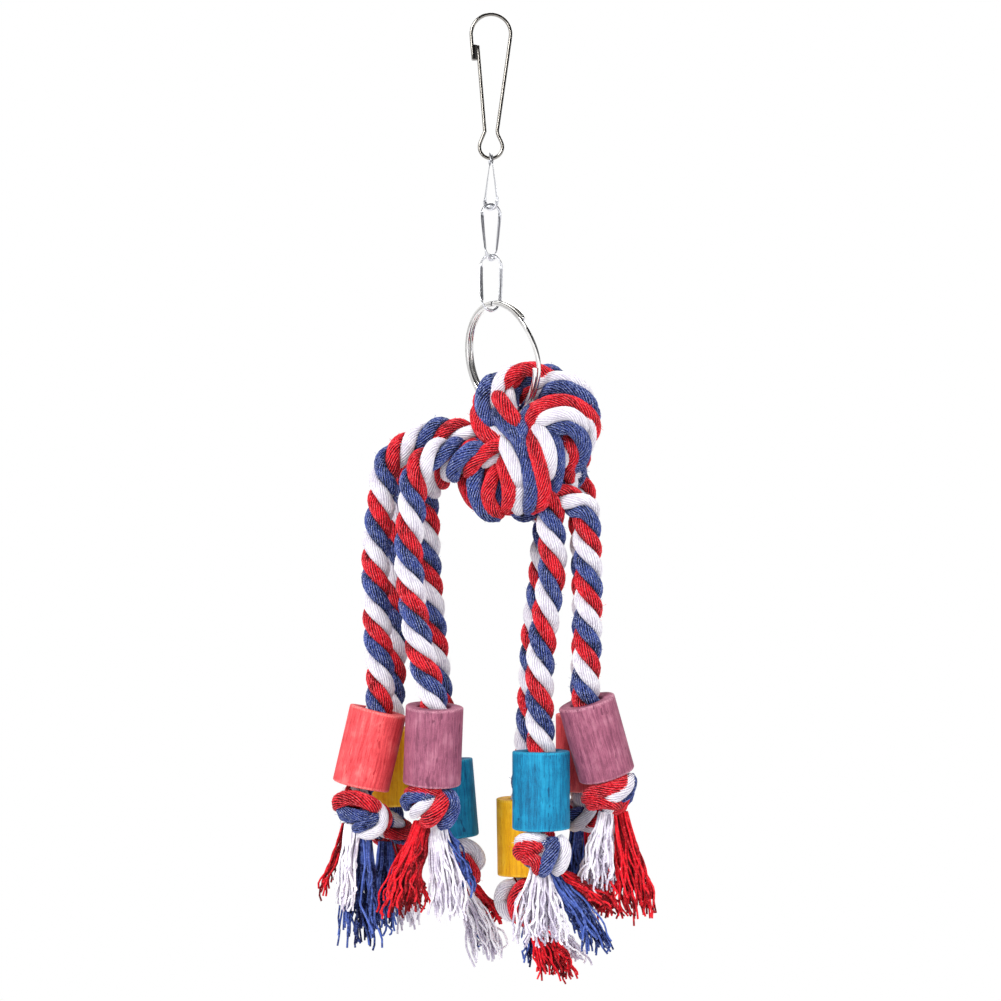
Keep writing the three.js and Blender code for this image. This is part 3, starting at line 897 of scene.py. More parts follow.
class GeometryTool:
    """A geometry tree with named inputs. Sizes are in metres; a fibre's bend is in shares of its size."""

    name: str = ""
    sockets: Mapping[str, Kind] = {}
    fibre_bend: Sequence[Point] = ((0, 0, -0.3), (0.25, 0, 0.5), (0.7, 0.2, 0.75))
    fibre_lean = 0.7
    fibre_sizes = (0.0005, 0.0015)
    fibre_radius = 0.00005

    def __init__(self) -> None:
        """Makes the tree and its inputs, and wires it."""
        self.tree = bpy.data.node_groups.new(self.name, "GeometryNodeTree")
        self.graph = Graph(self.tree)
        for name, kind in self.sockets.items():
            self.tree.interface.new_socket(name, in_out="INPUT", socket_type=kind.value)
        self.tree.interface.new_socket("Geometry", in_out="OUTPUT", socket_type=Kind.GEOMETRY.value)
        source = self.tree.nodes.new("NodeGroupInput")
        self.inputs = {name: Term(self.graph, source.outputs[name]) for name in self.sockets}
        result = self.wire()
        self.graph.feed(self.tree.nodes.new("NodeGroupOutput").inputs[0], result)

    def wire(self) -> Term:
        """Wires the tree.

        Returns:
            The finished geometry.
        """
        raise NotImplementedError

    def attach(self, made: bpy.types.Object, values: Mapping[str, Any]) -> None:
        """Puts the tree on an object with its inputs set.

        Args:
            made: The object.
            values: The inputs by name.
        """
        modifier = made.modifiers.new(self.name, "NODES")
        modifier.node_group = self.tree
        for item in self.tree.interface.items_tree:
            if item.in_out == "INPUT" and item.name in values:
                modifier[item.identifier] = values[item.name]

    def swept(
        self, curve: Term, profile: Term, around: Term, scale: "Term | float", material: Term,
        painted_light: "Term | float" = 1.0, own: "Term | float" = 0.0,
    ) -> Term:
        """Sweeps a profile along curves, and keeps where each point lies on its strand and how much painted light it
        keeps.

        Args:
            curve: The curves.
            profile: The profile's curve.
            around: What each of the profile's points is marked with.
            scale: The profile's scale along the curve.
            material: What the result is made of.
            painted_light: How much painted light each point keeps, 0 to 1; lower values paint shade into the cotton's
                colour.
            own: A number of each curve's own, 0 to 1, that tells its yarn from others.

        Returns:
            The closed mesh.
        """
        graph = self.graph
        length = graph.term("GeometryNodeSplineParameter", output="Length")
        curve, along, own = graph.captured(curve, "FLOAT", Along=length, Own=own)
        profile, around = graph.captured(profile, "VECTOR", Around=around)
        inputs = {"Curve": curve, "Profile Curve": profile, "Scale": scale, "Fill Caps": True}
        mesh = graph.term("GeometryNodeCurveToMesh", inputs)
        crest, yarn, _ = graph.parts(around)
        # The crest share is scaled by the painted light, so the cotton paints shade where that is low.
        data = graph.joined(crest * painted_light, yarn + own, along)
        stored = {"Geometry": mesh, "Name": STRAND_DATA, "Value": data}
        kept = graph.term("GeometryNodeStoreNamedAttribute", stored, data_type="FLOAT_VECTOR", domain="POINT")
        return graph.term("GeometryNodeSetMaterial", {"Geometry": kept, "Material": material})

    def spun(self, strand: Term, scale: "Term | float", material: Term, painted_light: "Term | float" = 1.0) -> Term:
        """Spins a strand: a section scalloped by its yarns, turned as it goes along.

        Args:
            strand: The strand's curve.
            scale: Its thickness along the way, as a share of the full one.
            material: What it is made of.
            painted_light: How much painted light each point keeps, 0 to 1; lower values paint shade, as in the lay's
                valleys.

        Returns:
            The strand's mesh.
        """
        graph, given = self.graph, self.inputs
        length = graph.term("GeometryNodeSplineParameter", output="Length")
        tilted = {"Curve": strand, "Tilt": length * given["Yarn Twist"]}
        turned = graph.term("GeometryNodeSetCurveTilt", tilted)
        sides = graph.maths("MULTIPLY", given["Yarns"], 3.0)
        circle = {"Resolution": sides, "Radius": given["Strand Radius"]}
        section = graph.term("GeometryNodeCurvePrimitiveCircle", circle)
        index = graph.term("GeometryNodeInputIndex")
        crest = graph.maths("MINIMUM", graph.maths("MODULO", index, 3.0), 1.0)
        position = graph.term("GeometryNodeInputPosition")
        grooved = graph.vectors("SCALE", position, 1.0 - (1.0 - crest) * given["Groove"])
        section = graph.term("GeometryNodeSetPosition", {"Geometry": section, "Position": grooved})
        around = graph.joined(crest, index / sides, 0.0)
        return self.swept(turned, section, around, scale, material, painted_light)

    def fuzz(self, mesh: Term, material: Term) -> Term:
        """Raises short loose fibres from a strand.

        Args:
            mesh: The strand's mesh.
            material: What it is made of.

        Returns:
            The fibres.
        """
        graph, given = self.graph, self.inputs
        spread = {"Mesh": mesh, "Density": given["Fibres"], "Seed": 11}
        points = graph.node("GeometryNodeDistributePointsOnFaces", spread, distribute_method="RANDOM")
        bend = dict(zip(("Start", "Middle", "End"), self.fibre_bend))
        curve = graph.term("GeometryNodeCurveQuadraticBezier", bend | {"Resolution": 4})
        lean = self.fibre_lean
        spin = {0: (-lean, -lean, 0.0), 1: (lean, lean, TURN), "Seed": 5}
        turn = graph.term("FunctionNodeRandomValue", spin, 0, data_type="FLOAT_VECTOR")
        shortest, longest = self.fibre_sizes
        drawn = {2: shortest, 3: longest, "Seed": 6}
        size = graph.term("FunctionNodeRandomValue", drawn, 1, data_type="FLOAT")
        rotation = {"Rotation": Term(graph, points.outputs["Rotation"]), "Rotate By": turn}
        rotation_term = graph.term("FunctionNodeRotateRotation", rotation, rotation_space="LOCAL")
        placed = {
            "Points": Term(graph, points.outputs["Points"]), "Instance": curve,
            "Rotation": rotation_term, "Scale": graph.joined(size, size, size),
        }
        hairs = graph.term("GeometryNodeInstanceOnPoints", placed)
        hairs = graph.term("GeometryNodeRealizeInstances", {0: hairs})
        circle = {"Resolution": 3, "Radius": self.fibre_radius}
        profile = graph.term("GeometryNodeCurvePrimitiveCircle", circle)
        return self.swept(hairs, profile, graph.joined(1.0, 0.5, 0.0), 1.0, material)

    def swell(self, scale: float) -> Term:
        """Gives a strand's uneven thickness.

        Args:
            scale: How often it changes, for each metre.

        Returns:
            The thickness, as a share of the full one.
        """
        position = self.graph.term("GeometryNodeInputPosition")
        return (self.graph.noise(position, scale, 1.0) - 0.5) * self.inputs["Unevenness"] + 1.0

    def closing(self, *meshes: Term) -> Term:
        """Joins meshes, smooths their shading and realizes what is left as instances.

        Args:
            *meshes: The meshes.

        Returns:
            The joined mesh.
        """
        graph = self.graph
        join = graph.node("GeometryNodeJoinGeometry")
        for mesh in reversed(meshes):
            graph.feed(join.inputs[0], mesh)
        smooth = graph.term("GeometryNodeSetShadeSmooth", {0: Term(graph, join.outputs[0])})
        return graph.term("GeometryNodeRealizeInstances", {0: smooth})


STRANDS = ("First", "Second", "Third")  # the inputs for the cottons of a rope's strands
LAY_ORDER = (Cotton.RED, Cotton.BLUE, Cotton.WHITE)
STRAND_SOCKETS = {
    "Geometry": Kind.GEOMETRY, "Strand Radius": Kind.FLOAT, "Yarns": Kind.INTEGER, "Yarn Twist": Kind.FLOAT,
    "Groove": Kind.FLOAT, "Unevenness": Kind.FLOAT, "Fibres": Kind.FLOAT,
} | dict.fromkeys(STRANDS, Kind.MATERIAL)
SWELL_SCALE = 260.0  # how often a strand's thickness changes, for each metre


class LaidRope(GeometryTool):
    """Lays three strands round each line, as a rope walk does."""

    name = "laid_rope"
    sockets = STRAND_SOCKETS | {"Strand Offset": Kind.FLOAT, "Lay Length": Kind.FLOAT, "Facing": Kind.VECTOR}
    # Where the painted shade in the lay's valleys fades to full light, as shares of a strand's outer reach.
    painted_valley_shade = (0.52, 0.95)
    swell_apart = 17.0

    def wire(self) -> Term:
        """Wires three helical copies of the line and spins a strand along each.

        Returns:
            The three strands with their loose fibres.
        """
        graph, given = self.graph, self.inputs
        curve = graph.term("GeometryNodeMeshToCurve", {0: given["Geometry"]})
        plain = 1.0 - graph.vectors("LENGTH", given["Facing"], output="Value")
        own = graph.vectors("SCALE", graph.term("GeometryNodeInputNormal"), plain)
        facing = graph.vectors("ADD", given["Facing"], own)
        tangent = graph.term("GeometryNodeInputTangent")
        binormal = graph.vectors("NORMALIZE", graph.vectors("CROSS_PRODUCT", tangent, facing))
        normal = graph.vectors("CROSS_PRODUCT", binormal, tangent)
        length = graph.term("GeometryNodeSplineParameter", output="Length")
        turn = graph.named(PHASE_DATA) - length * TURN / given["Lay Length"]
        position = graph.term("GeometryNodeInputPosition")
        curve, axis = graph.captured(curve, "VECTOR", Axis=position)
        out = graph.vectors("DISTANCE", position, axis, output="Value")
        # Painted shade: points close to the rope's axis, down in the valleys between strands, are painted darker.
        painted_light = (out / (given["Strand Offset"] + given["Strand Radius"])).steps(*self.painted_valley_shade)
        meshes: list[Term] = []
        for index, name in enumerate(STRANDS):
            angle = turn + index * TURN / len(STRANDS)
            along_normal = graph.vectors("SCALE", normal, angle.cos() * given["Strand Offset"])
            along_binormal = graph.vectors("SCALE", binormal, angle.sin() * given["Strand Offset"])
            offset = graph.vectors("ADD", along_normal, along_binormal)
            strand = graph.term("GeometryNodeSetPosition", {"Geometry": curve, "Offset": offset})
            swell = self.swell(SWELL_SCALE + self.swell_apart * index)
            mesh = self.spun(strand, swell, given[name], painted_light)
            meshes.extend((mesh, self.fuzz(mesh, given[name])))
        return self.closing(*meshes)


class SingleStrand(GeometryTool):
    """Spins one strand along each line, in the cotton that the line is marked with."""

    name = "single_strand"
    sockets = STRAND_SOCKETS | {"Taper": Kind.FLOAT}
    tucked = 0.2

    def wire(self) -> Term:
        """Wires a strand along each line, thinner where its ends tuck in.

        Returns:
            The strands with their loose fibres.
        """
        graph, given = self.graph, self.inputs
        curve = graph.term("GeometryNodeMeshToCurve", {0: given["Geometry"]})
        share = graph.term("GeometryNodeSplineParameter", output="Factor")
        ends = share.steps(0.0, self.tucked) * (1.0 - share.steps(1.0 - self.tucked, 1.0))
        dye = graph.named(DYE_DATA)
        girth = graph.named(GIRTH_DATA)
        scale = self.swell(SWELL_SCALE) * girth * (1.0 - given["Taper"] * (1.0 - ends))
        meshes: list[Term] = []
        for index, name in enumerate(STRANDS):
            others = graph.maths("GREATER_THAN", graph.maths("ABSOLUTE", dye - float(index)), 0.5)
            dropped = {"Geometry": curve, "Selection": others}
            chosen = graph.term("GeometryNodeDeleteGeometry", dropped, domain="POINT")
            mesh = self.spun(chosen, scale, given[name])
            meshes.extend((mesh, self.fuzz(mesh, given[name])))
        return self.closing(*meshes)


class YarnBundle(GeometryTool):
    """Adds one bundle of loose yarns that hang from a neck and spread towards their ends."""

    name = "yarn_bundle"
    sockets = {
        "Geometry": Kind.GEOMETRY, "Count": Kind.INTEGER, "Seed": Kind.INTEGER, "Neck": Kind.VECTOR,
        "Neck Size": Kind.VECTOR, "Hem": Kind.VECTOR, "Hem Size": Kind.VECTOR, "Wave": Kind.FLOAT,
        "Yarn Radius": Kind.FLOAT, "Material": Kind.MATERIAL,
    }
    points = 20
    sides = 6
    seed_apart = 7.3
    scatter = 3.1
    lengths = (0.72, 1.1)
    flare = (-0.25, 1.1)
    sway_scale = 1.7
    sway_turns = 2.4
    # How much painted light the yarns in the bundle's middle keep: yarns inside are painted darker, as shade.
    inner_painted_light = 0.3

    def wire(self) -> Term:
        """Wires yarns from points in a disc, spread from the neck's disc to the hem's.

        Returns:
            The given geometry with the bundle.
        """
        graph, given = self.graph, self.inputs

        def chance(low: float, high: float, salt: int) -> Term:
            """Draws a number for each yarn."""
            drawn = {2: low, 3: high, "Seed": graph.maths("ADD", given["Seed"], float(salt))}
            return graph.term("FunctionNodeRandomValue", drawn, 1, data_type="FLOAT")

        angle = chance(0.0, TURN, 1)
        reach = chance(0.0, 1.0, 2) ** 0.5
        disc = graph.joined(reach * angle.cos(), reach * angle.sin(), 0.0)
        points = graph.term("GeometryNodePoints", {"Count": given["Count"], "Position": disc})
        line = graph.term("GeometryNodeCurvePrimitiveLine", {"Start": (0, 0, 0), "End": (0, 0, 1)})
        line = graph.term("GeometryNodeResampleCurve", {"Curve": line, "Count": self.points})
        yarns = graph.term("GeometryNodeInstanceOnPoints", {"Points": points, "Instance": line})
        yarns = graph.term("GeometryNodeRealizeInstances", {0: yarns})

        x, y, along = graph.parts(graph.term("GeometryNodeInputPosition"))
        base = graph.joined(x, y, 0.0)
        salt_at = graph.joined(given["Seed"] * self.seed_apart, 0.0, 0.0)
        salted = graph.vectors("ADD", graph.vectors("SCALE", base, self.scatter), salt_at)
        shortest, longest = self.lengths
        cut = graph.noise(salted, 2.3, 1.0).steps(0.25, 0.75) * (longest - shortest) + shortest
        flare = along.steps(*self.flare)
        neck = graph.vectors("MULTIPLY", base, given["Neck Size"])
        hem = graph.vectors("ADD", graph.vectors("MULTIPLY", base, given["Hem Size"]), given["Hem"])
        hem = graph.vectors("SCALE", hem, cut)
        neck = graph.vectors("SCALE", neck, 1.0 - flare)
        level_x, level_y, _ = graph.parts(graph.vectors("ADD", neck, graph.vectors("SCALE", hem, flare)))
        _, _, drop = graph.parts(hem)
        sway_at = graph.vectors("ADD", salted, graph.joined(0.0, 0.0, along * self.sway_turns))
        waves = {"Vector": sway_at, "Scale": self.sway_scale, "Detail": 0.5}
        sway = graph.term("ShaderNodeTexNoise", waves, 1)
        sway = graph.vectors("SUBTRACT", sway, (0.5, 0.5, 0.5))
        stray = graph.noise(graph.vectors("SCALE", salted, 5.0), 3.0, 0.0).steps(0.5, 0.85) * 1.6 + 0.7
        sway = graph.vectors("SCALE", sway, given["Wave"] * along * stray)
        place = graph.vectors("ADD", graph.joined(level_x, level_y, drop * along), sway)
        place = graph.vectors("ADD", place, given["Neck"])
        yarns, outside = graph.captured(yarns, "FLOAT", Outside=x * x + y * y)
        hung = graph.term("GeometryNodeSetPosition", {"Geometry": yarns, "Position": place})
        circle = {"Resolution": self.sides, "Radius": given["Yarn Radius"]}
        profile = graph.term("GeometryNodeCurvePrimitiveCircle", circle)
        number = graph.term("GeometryNodeCurveOfPoint", output="Curve Index")
        drawn = {2: 0.0, 3: 1.0, "ID": number, "Seed": given["Seed"]}
        own = graph.term("FunctionNodeRandomValue", drawn, 1, data_type="FLOAT")
        # Painted shade: yarns towards the bundle's middle are painted darker than those outside.
        painted_light = outside * (1.0 - self.inner_painted_light) + self.inner_painted_light
        bundle = self.swept(hung, profile, graph.joined(1.0, 0.0, 0.0), 1.0, given["Material"], painted_light, own)
        return self.closing(given["Geometry"], bundle)


class SweptWire(GeometryTool):
    """Sweeps a rounded flat or round wire along each line, kept square to an axis."""

    name = "swept_wire"
    sockets = {
        "Geometry": Kind.GEOMETRY, "Axis": Kind.VECTOR, "Along Axis": Kind.FLOAT, "Across Axis": Kind.FLOAT,
        "Corner": Kind.FLOAT, "Material": Kind.MATERIAL,
    }
    corner_steps = 5

    def wire(self) -> Term:
        """Wires a rounded section and sweeps it along the line.

        Returns:
            The wire.
        """
        graph, given = self.graph, self.inputs
        curve = graph.term("GeometryNodeMeshToCurve", {0: given["Geometry"]})
        squared = {"Curve": curve, "Normal": given["Axis"]}
        curve = graph.term("GeometryNodeSetCurveNormal", squared, mode="FREE")
        section = graph.term(
            "GeometryNodeCurvePrimitiveQuadrilateral",
            {"Width": given["Along Axis"], "Height": given["Across Axis"]},
        )
        rounded = {
            "Curve": section, "Radius": given["Corner"], "Limit Radius": True, "Count": self.corner_steps,
        }
        section = graph.term("GeometryNodeFilletCurve", rounded, mode="POLY")
        return self.closing(self.swept(curve, section, graph.joined(1.0, 0.5, 0.0), 1.0, given["Material"]))

    def draw(
        self, name: str, line: Sequence[Vector], finish: PlatedFinish, axis: Sequence[float],
        size: tuple[float, float], corner: float, closed: bool = False,
    ) -> bpy.types.Object:
        """Draws one wire.

        Args:
            name: The piece's name.
            line: Its middle, in metres.
            finish: Its plating.
            axis: What its section is kept square to.
            size: Its section along and across the axis, in millimetres.
            corner: The radius of the section's corners, in millimetres.
            closed: Whether the wire joins up with its own start.

        Returns:
            The wire.
        """
        made = wire_frame(name, [line], closed)
        along, across = size
        self.attach(made, {
            "Axis": axis, "Along Axis": along * MM, "Across Axis": across * MM, "Corner": corner * MM,
            "Material": finish.material(),
        })
        return settle(made)


@dataclass(frozen=True)
class Lamp:
    """A soft square light: its place and side in metres, and its power in watts."""

    name: str
    place: Point
    side: float
    power: float
    mirrored: bool = True


LAMPS = (
    Lamp("key", (-0.72, -0.92, 0.6), 0.5, 15.5),
    Lamp("fill", (1.05, -0.7, 0.2), 0.8, 6.5, False),
    Lamp("rim", (0.25, 0.9, 0.6), 0.8, 7.0),
)


@dataclass
class Studio:
    """Camera, soft light and a pale floor. Sizes are in metres."""

    distance: float = 1.0
    middle: Point = (0.00314, 0.0, -0.15969)
    lens: float = 109.1
    nearest: float = 0.01
    floor: float = -0.352
    floor_size: float = 6.0
    floor_colour: Colour = (0.86, 0.86, 0.87)
    front_light: Colour = (0.84, 0.84, 0.86)
    back_light: Colour = (0.38, 0.38, 0.4)
    front_mirror: Colour = (0.02, 0.02, 0.022)
    back_mirror: Colour = (0.2, 0.2, 0.21)
    right_mirror: Colour = (0.16, 0.16, 0.17)
    left_mirror: Colour = PLAIN_WHITE

    def build(self) -> None:
        """Makes the camera, the lights and the surroundings."""
        camera = bpy.data.cameras.new("camera")
        camera.lens = self.lens
        camera.clip_start = self.nearest
        holder = bpy.data.objects.new("camera", camera)
        holder.location = Vector(self.middle) - Vector((0, self.distance, 0))
        holder.rotation_euler = (math.pi / 2, 0, 0)
        bpy.context.scene.collection.objects.link(holder)
        bpy.context.scene.camera = holder
        bpy.context.scene.view_settings.view_transform = "Standard"
        for lamp in LAMPS:
            self.light(lamp)
        self.surroundings()

    def light(self, lamp: Lamp) -> None:
        """Adds a soft square light that faces the toy.

        Args:
            lamp: The light.
        """
        panel = bpy.data.lights.new(lamp.name, "AREA")
        panel.size = lamp.side
        panel.energy = lamp.power
        holder = bpy.data.objects.new(lamp.name, panel)
        holder.location = lamp.place
        holder.visible_glossy = lamp.mirrored
        aim = Vector(self.middle) - Vector(lamp.place)
        holder.rotation_euler = aim.to_track_quat("-Z", "Y").to_euler()
        bpy.context.scene.collection.objects.link(holder)

    def surroundings(self) -> None:
        """Lights the set evenly, shows white to the camera and gives metal something to mirror."""
        world = bpy.data.worlds.new("studio")
        world.use_nodes = True
        bpy.context.scene.world = world
        graph = Graph(world.node_tree)
        path = graph.node("ShaderNodeLightPath")
        seen = Term(graph, path.outputs["Is Camera Ray"])
        mirrored = Term(graph, path.outputs["Is Glossy Ray"])
        x, y, z = graph.parts(graph.term("ShaderNodeTexCoord", output="Generated"))
        level = 1.0 - graph.maths("ABSOLUTE", z - 0.1).steps(0.3, 0.55)
        left = (-x).steps(0.5, 0.62) * level
        right = x.steps(0.62, 0.74) * level
        back = y.steps(0.45, 0.7)
        mirror = graph.mix(back, self.front_mirror, self.back_mirror)
        mirror = graph.mix(right, mirror, self.right_mirror)
        mirror = graph.mix(left, mirror, self.left_mirror)
        even = graph.mix(y.steps(-0.5, 0.5), self.front_light, self.back_light)
        even = graph.mix(mirrored, even, mirror)
        soft = graph.term("ShaderNodeBackground", {"Color": even, "Strength": 1.0})
        white = graph.term("ShaderNodeBackground", {"Color": opaque(PLAIN_WHITE), "Strength": 1.0})
        mixed = graph.term("ShaderNodeMixShader", {0: seen, 1: soft, 2: white})
        graph.feed(world.node_tree.nodes["World Output"].inputs["Surface"], mixed)

    def dress(self) -> None:
        """Makes the pale floor and marks it as no part of the toy."""
        half = self.floor_size / 2
        corners = [(-half, -half), (half, -half), (half, half), (-half, half)]
        mesh = bpy.data.meshes.new("floor")
        mesh.from_pydata([(x, y, self.floor) for x, y in corners], [], [(0, 1, 2, 3)])
        floor = bpy.data.objects.new("floor", mesh)
        bpy.context.scene.collection.objects.link(floor)
        mesh.materials.append(BackdropFinish("floor_white", self.floor_colour).material())
        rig.stage(floor)


@dataclass
class RopeMaker:
    """Makes laid rope and single strands. Sizes are in metres, for rope of the full thickness."""

    strand_radius: float = 0.00235
    strand_offset: float = 0.00245
    single_share: float = 1.04
    lay_length: float = 0.0203
    step: float = 0.001
    yarns: int = 16
    yarn_twist: float = 260.0
    groove: float = 0.19
    unevenness: float = 0.16
    fibres: float = 28000.0
    taper: float = 0.35
    laid: LaidRope = field(default_factory=LaidRope)
    single: SingleStrand = field(default_factory=SingleStrand)

    def strand_values(self, share: float, order: Sequence[Cotton]) -> dict[str, Any]:
        """Gives the sizes that laid rope and single strands share.

        Args:
            share: The thickness, as a share of the full one.
            order: The strands' cottons.

        Returns:
            The trees' inputs by name.
        """
        dyed = dict(zip(STRANDS, (COTTONS[cotton].material() for cotton in order)))
        return dyed | {
            "Strand Radius": self.strand_radius * share, "Yarns": self.yarns, "Yarn Twist": self.yarn_twist,
            "Groove": self.groove, "Unevenness": self.unevenness, "Fibres": self.fibres,
        }

    def rope(
        self, name: str, lines: Sequence[Sequence[Vector]], share: float = 1.0, phases: Sequence[float] = (),
        order: Sequence[Cotton] = LAY_ORDER, lay: float = 1.0,
        facing: Point = (0, 0, 0),
    ) -> bpy.types.Object:
        """Lays rope along lines.

        Args:
            name: The piece's name.
            lines: The lines' points.
            share: The rope's thickness, as a share of the full one.
            phases: The strands' turn at each line's start, in radians.
            order: The strands' cottons, in the order that they pass going along.
            lay: The lay's length, as a share of the usual one.
            facing: The side that a phase of 0 faces; the curve's own normal where it is zero.

        Returns:
            The finished mesh.
        """
        made = wire_frame(name, lines, marks={PHASE_DATA: list(phases) or [0.0] * len(lines)})
        self.laid.attach(made, self.strand_values(share, order) | {
            "Strand Offset": self.strand_offset * share, "Lay Length": self.lay_length * share * lay,
            "Facing": facing,
        })
        return settle(made)

    def strands(
        self, name: str, lines: Sequence[Sequence[Vector]], shown: "Sequence[Strand | Tuck]",
    ) -> bpy.types.Object:
        """Lays single strands along lines.

        Args:
            name: The piece's name.
            lines: The lines' points.
            shown: The strands, which say their cotton and thickness.

        Returns:
            The finished mesh.
        """
        order = list(Cotton)
        dyes = [float(order.index(strand.cotton)) for strand in shown]
        marks = {DYE_DATA: dyes, GIRTH_DATA: [strand.girth for strand in shown]}
        made = wire_frame(name, lines, marks=marks)
        self.single.attach(made, self.strand_values(self.single_share, order) | {"Taper": self.taper})
        return settle(made)


@dataclass
class SnapHook:
    """The bent wire hook and its sprung gate. Sizes are in millimetres."""

    tool: SweptWire
    wire: float = 1.15
    arch_radius: float = 6.5
    waist_drop: float = 38.0
    waist_half_gap: float = 2.0
    neck_length: float = 5.1
    eye_radius: float = 3.8
    nose_length: float = 8.6
    nose_inset: float = 0.7
    clasp_length: float = 5.0
    clasp_wall: float = 0.5
    clearance: float = 0.3
    clasp_corner: float = 0.2
    sprung_share: float = 0.4
    leg_lap: float = 0.2
    back_bends: Sequence[tuple[float, float]] = ((0.28, 1.6), (0.1, 0.3), (0.28, -0.9))
    gate_bends: Sequence[tuple[float, float]] = ((0.25, -0.6), (0.0, 0.0))
    arc_points: int = 40
    leg_points: int = 25
    wire_step: float = 0.5
    clasp_step: float = 0.2

    def arc(self, centre: float, radius: float, start: float, end: float) -> list[Point]:
        """Gives points of an arc about a point on the middle line.

        Args:
            centre: The arc's centre, up or down.
            radius: Its radius.
            start: Its first angle.
            end: Its last angle.

        Returns:
            The points.
        """
        last = self.arc_points - 1
        angles = [start + (end - start) * i / last for i in range(self.arc_points)]
        return [(radius * math.cos(a), 0.0, centre + radius * math.sin(a)) for a in angles]

    def arch(self) -> float:
        """Gives the height of the arch's centre."""
        return self.wire / 2 - self.arch_radius

    def nose(self) -> Point:
        """Gives the tip of the nose."""
        return self.nose_inset - self.arch_radius, 0.0, self.arch() - self.nose_length

    def clasp_back(self) -> float:
        """Gives where the clasp's back is, across."""
        return self.nose()[0] + self.wire / 2 + self.clearance

    def build(self) -> tuple[bpy.types.Object, ...]:
        """Makes the hook's wire, the gate's leg and its clasp.

        Returns:
            The three pieces.
        """
        arch = self.arch()
        eye = -self.waist_drop - self.neck_length
        leg_x, leg_z = self.waist_half_gap, -self.waist_drop - arch
        leg = math.atan2(leg_z, leg_x) + math.acos(self.arch_radius / math.hypot(leg_x, leg_z))
        reach = math.hypot(self.waist_half_gap, self.neck_length)
        neck = math.atan2(self.neck_length, self.waist_half_gap) - math.acos(self.eye_radius / reach)
        points = [self.nose(), *self.arc(arch, self.arch_radius, math.pi, leg)]
        for out, up in self.back_bends:
            points.append((self.waist_half_gap + out, 0.0, up - self.waist_drop))
        points.extend(self.arc(eye, self.eye_radius, neck, -math.pi - neck))
        for out, up in self.gate_bends:
            points.append((-self.waist_half_gap - out, 0.0, up - self.waist_drop))
        hook = self.drawn("hook_bent_wire", [metres(p) for p in points])

        top = self.nose()[2] + self.clasp_length
        foot = metres((-self.waist_half_gap, 0.0, -self.waist_drop - self.leg_lap))
        tip = metres((self.clasp_back() + self.wire / 2, 0.0, top - self.leg_lap))
        last = self.leg_points - 1
        gate = self.drawn("gate_leg", [foot.lerp(tip, i / last) for i in range(self.leg_points)])
        return hook, gate, self.clasp()

    def drawn(self, name: str, points: list[Vector]) -> bpy.types.Object:
        """Draws one round wire.

        Args:
            name: The piece's name.
            points: Points of its middle, in metres.

        Returns:
            The wire.
        """
        line = Route(points).line(self.wire_step * MM)
        return self.tool.draw(name, line, HOOK_PLATE, (0.0, 1.0, 0.0), (self.wire, self.wire), self.wire / 2)

    def clasp(self) -> bpy.types.Object:
        """Folds the gate's channel that straddles the nose.

        Returns:
            The channel.
        """
        back = self.clasp_back()
        half = self.clasp_wall / 2
        cheek = self.wire / 2 + self.clearance + half
        bend = self.wire / 2
        side = [(back - self.wire, cheek), (back - bend, cheek), (back, cheek - half)]
        side.append((back + half, cheek - bend))
        line = [(x, -y) for x, y in side] + side[::-1]
        middle = self.nose()[2] + self.clasp_length / 2
        folded = Route(metres((x, y, middle)) for x, y in line).line(self.clasp_step * MM)
        size = (self.clasp_length, self.clasp_wall)
        return self.tool.draw("gate_clasp", folded, HOOK_PLATE, (0.0, 0.0, 1.0), size, self.clasp_corner)

    def dress(self, hook: bpy.types.Object, gate: bpy.types.Object, clasp: bpy.types.Object) -> None:
        """Puts the pieces on their bodies; the gate's leg bends up from the hook's waist.

        Args:
            hook: The hook's wire.
            gate: The gate's leg.
            clasp: Its channel.
        """
        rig.replaces(hook, "snap_hook")
        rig.replaces(gate, "hook_gate")
        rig.ride(hook, "hook")
        foot = metres((-self.waist_half_gap, 0.0, -self.waist_drop))
        sprung = metres((0.0, 0.0, self.waist_drop * self.sprung_share))
        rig.blend(gate, "hook", "gate", start=foot, end=foot + sprung)
        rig.ride(clasp, "gate")
        for made in (hook, gate, clasp):
            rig.slot(made, "hook_wire")


